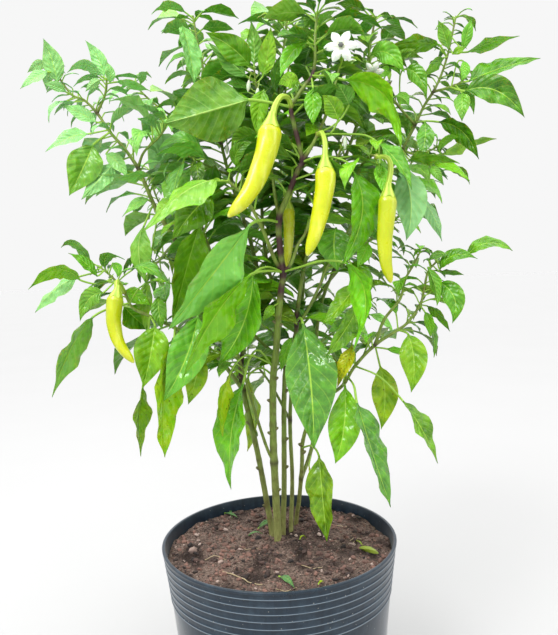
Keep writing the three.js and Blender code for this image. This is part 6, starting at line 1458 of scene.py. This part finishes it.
# Young leaves
# Smaller leaves fill every branch between the full-grown ones and crowd at the tips. They are set by the
# same rule, a few dozen faces each, where they hide nothing plain and keep off other leaves.
young_spacing = 4.5 * mm
young_longest = 82 * mm
young_shape = ([-1, -0.45, 0, 0.45, 1], [0], 3, 7)
tuft_count = 6
tuft_shorter = 0.4
midrib_gap = 4 * mm
young_width = 1.3
young_droop = 0.4
young_roll = 1.5
inner_reach = (100 * mm, 200 * mm)
least_across = 0.5
box_margin = 3 * mm
wide_leaf = 23
# Pixels kept clear beside stems and stalks, and half the width of a young leaf in pixels.
stalk_pixels, young_pixels = 3, 4


def pictured(points):
    """Column, row and distance ahead of the eye for points: reach across and down over reach ahead."""
    reach = points - eye
    ahead = reach @ sight
    flat = focal * np.stack([reach @ sight_right, -(reach @ sight_up)], -1) / ahead[..., None]
    return np.concatenate([flat @ tilt + picture_centre, ahead[..., None]], -1)


def kept_clear(points, pixels):
    """Rows of picture column, row, metres ahead of the eye, and pixels to keep clear round each point."""
    return np.column_stack([pictured(points), np.full(len(points), pixels)])


# Nothing young hides the fruits and their stalks, the flowers, the front stem, or the plain leaves.
spots_shown = [kept_clear(smooth_routes[0][::3], stalk_pixels)]
for _, _, widest, hang_spots, fruit_spots, _ in peppers:
    spots_shown.append(kept_clear(smooth(seen(fruit_spots), 9), widest))
    spots_shown.append(kept_clear(smooth(seen(hang_spots), 7), stalk_pixels))
for _, _, spot, _, petal_reach, _ in blooms:
    spots_shown.append(kept_clear(seen([spot]), petal_reach))
for _, _, width, spots in shown_leaves:
    spots_shown.append(kept_clear(midrib(seen(spots[-3:]), [0.2, 0.4, 0.6, 0.8]), 0.35 * width))
    if width > wide_leaf:
        spots_shown.append(kept_clear(smooth(seen(spots[:-2]), 12), stalk_pixels))
# Between the stems the plant is open to the back: column, row, metres ahead and pixels kept clear.
spots_shown.append(np.array([[312, 286, 0.84, 13]]))
spots_shown = np.concatenate(spots_shown)
blade_shares = np.linspace(0, 1, 6)
taken = np.concatenate([midrib(leaf["points"][-3:], blade_shares) for leaf in leaves])
low, high = np.array(cad_box)


def has_room(leaf, others):
    """True where a leaf is inside the CAD box, hides no spot kept clear, isn't end on, and clears others."""
    line = midrib(leaf["points"][-3:], blade_shares)
    if np.any(line < low + box_margin) or np.any(line > high - box_margin):
        return False
    own = pictured(line)
    near = np.linalg.norm(own[:, None, :2] - spots_shown[:, :2], axis=-1)
    reach = spots_shown[:, 3] + young_pixels * np.sin(np.pi * blade_shares)[:, None]
    if np.any((near < reach) & (own[:, None, 2] < spots_shown[:, 2])):
        return False
    across = np.linalg.norm((own[-1] - own[0])[:2]) / focal * own[0, 2]
    if own[-1, 2] < own[0, 2] and across < least_across * np.linalg.norm(line[-1] - line[0]):
        return False
    return np.min(np.linalg.norm(line[2:, None] - others, axis=-1)) > midrib_gap


young = []
for number, (route, (stem, _, (start_share, _, longest), _)) in enumerate(zip(routes, branches)):
    count = int(np.sum(steps(route)) * (1 - start_share) / young_spacing)
    for i in range(count + tuft_count):
        at_tip = i >= count
        share = 0.97 + 0.03 * (i - count) / tuft_count if at_tip else (i + 0.4) / count
        place = start_share + (1 - start_share) * share
        away = np.linalg.norm(curve(route, np.array([place * (len(route) - 1)]))[0, :2])
        inner = 1 - 0.55 * np.clip((away - inner_reach[0]) / (inner_reach[1] - inner_reach[0]), 0, 1)
        shorter = tuft_shorter if at_tip else 0.5 + 0.5 * draw(number, i + 60)
        long = young_longest * inner * shorter * (1.1 - 0.4 * share)
        seed = 100 * (61 + number) + i
        leaf = ruled_leaf(route, stem, seed, i, place, long)
        base, middle, tip = leaf["points"][-3:]
        leaf["points"][-1] = tip + young_droop * (2 * middle - base - tip)
        leaf["half"] *= young_width * inner
        leaf["roll"] *= young_roll
        if not has_room(leaf, taken):
            continue
        leaf["points"][0] = nearest_on(stem, leaf["points"][0])
        taken = np.concatenate([taken, midrib(leaf["points"][-3:], blade_shares)])
        young.append(leaf)
for stem in stem_names:
    chosen = [leaf for leaf in young if leaf["stem"] == stem]
    skin, which, uv, looks = leaf_skins(chosen, *young_shape)
    piece = new_piece("young_leaves_" + stem, skin, leaf_faces, which, uv, looks, crease=70)
    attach(piece, "root")

# Fallen leaves
# Torn scraps of leaf and one shrivelled yellow-green pod lie on the soil. One dead leaf has curled up and
# hangs by the lowest green one.
# Each scrap: where it starts and ends in the picture, mm across, mm that its middle stands up, and its look.
scraps = [
    ((226, 515), (238, 520), 6, 2, (-0.4, 0, 0.2, 0.2)), ((259, 529), (273, 524), 6, 3, (-0.3, 0, 0.3, 0.2)),
    ((248, 539), (263, 538), 4, 4, (-0.4, 0, 0.3, 0.2)), ((300, 541), (306, 539), 5, 4, (0.8, 0.7, 0, 0.4)),
    ((281, 580), (295, 591), 7, 4, (-0.4, 0, 0.3, 0.2)), ((230, 512), (232, 520), 4, 2, (-0.4, 0, 0.1, 0.2)),
    ((319, 585), (324, 583), 3, 2, (0.3, 0.6, 0, 0.3)), ((357, 542), (363, 549), 3, 2, (0.3, 0.8, 0, 0.2)),
]
scrap_lift = 2.5 * mm
scrap_shape = (*small_shape[:2], 4, 13)
scrap_leaves = []
for number, (start, end, across, rise, look) in enumerate(scraps):
    base, tip = on_soil([start, end]) + scrap_lift * upright
    middle = (base + tip) / 2 + rise * mm * upright
    root = base - 0.15 * (tip - base) - 0.5 * scrap_lift * upright
    scrap_leaves.append({
        "points": np.array([root, base, middle, tip]), "half": across * mm / 2, "look": look,
        "wave": 6.3 * draw(number, 41), "faces": upright, "roll": 1.2 * (draw(number, 42) - 0.5)})
hanging = seen([(311, 456, 10), (309, 466, 12), (312, 484, 16), (316, 503, 12)])
scrap_leaves.append({"points": hanging, "half": 4 * mm, "look": (0.3, 1.0, 0.0, 0.2), "wave": 2.0,
                     "faces": -sight, "roll": 0.9})
skin, which, uv, looks = leaf_skins(scrap_leaves, *scrap_shape)
piece = new_piece("fallen_leaves", skin, leaf_faces, which, uv, looks, crease=70)
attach(piece, "root")

pod_ends = on_soil([(359, 550), (379, 556)]) + scrap_lift * upright
pod_radius = 3 * mm
pod_arch = 1.5 * mm
pod_rows, pod_around = 20, 16
share, turn = np.linspace(0.02, 0.98, pod_rows)[:, None], round_turns(pod_around)
path = pod_ends[0] + share * (pod_ends[1] - pod_ends[0]) + np.sin(np.pi * share) * pod_arch * upright
wrinkled = 1 + 0.18 * np.sin(4 * turn + 6 * share)
radii = pod_radius * np.sin(np.pi * share) ** 0.6 * wrinkled
skin = skin_rings(tube(path, radii, pod_around))
piece = new_piece("shrivelled_pod", skin, [calyx_skin], look=np.tile([0.5, 0.1, 0, 1], (len(skin[0]), 1)))
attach(piece, "root")
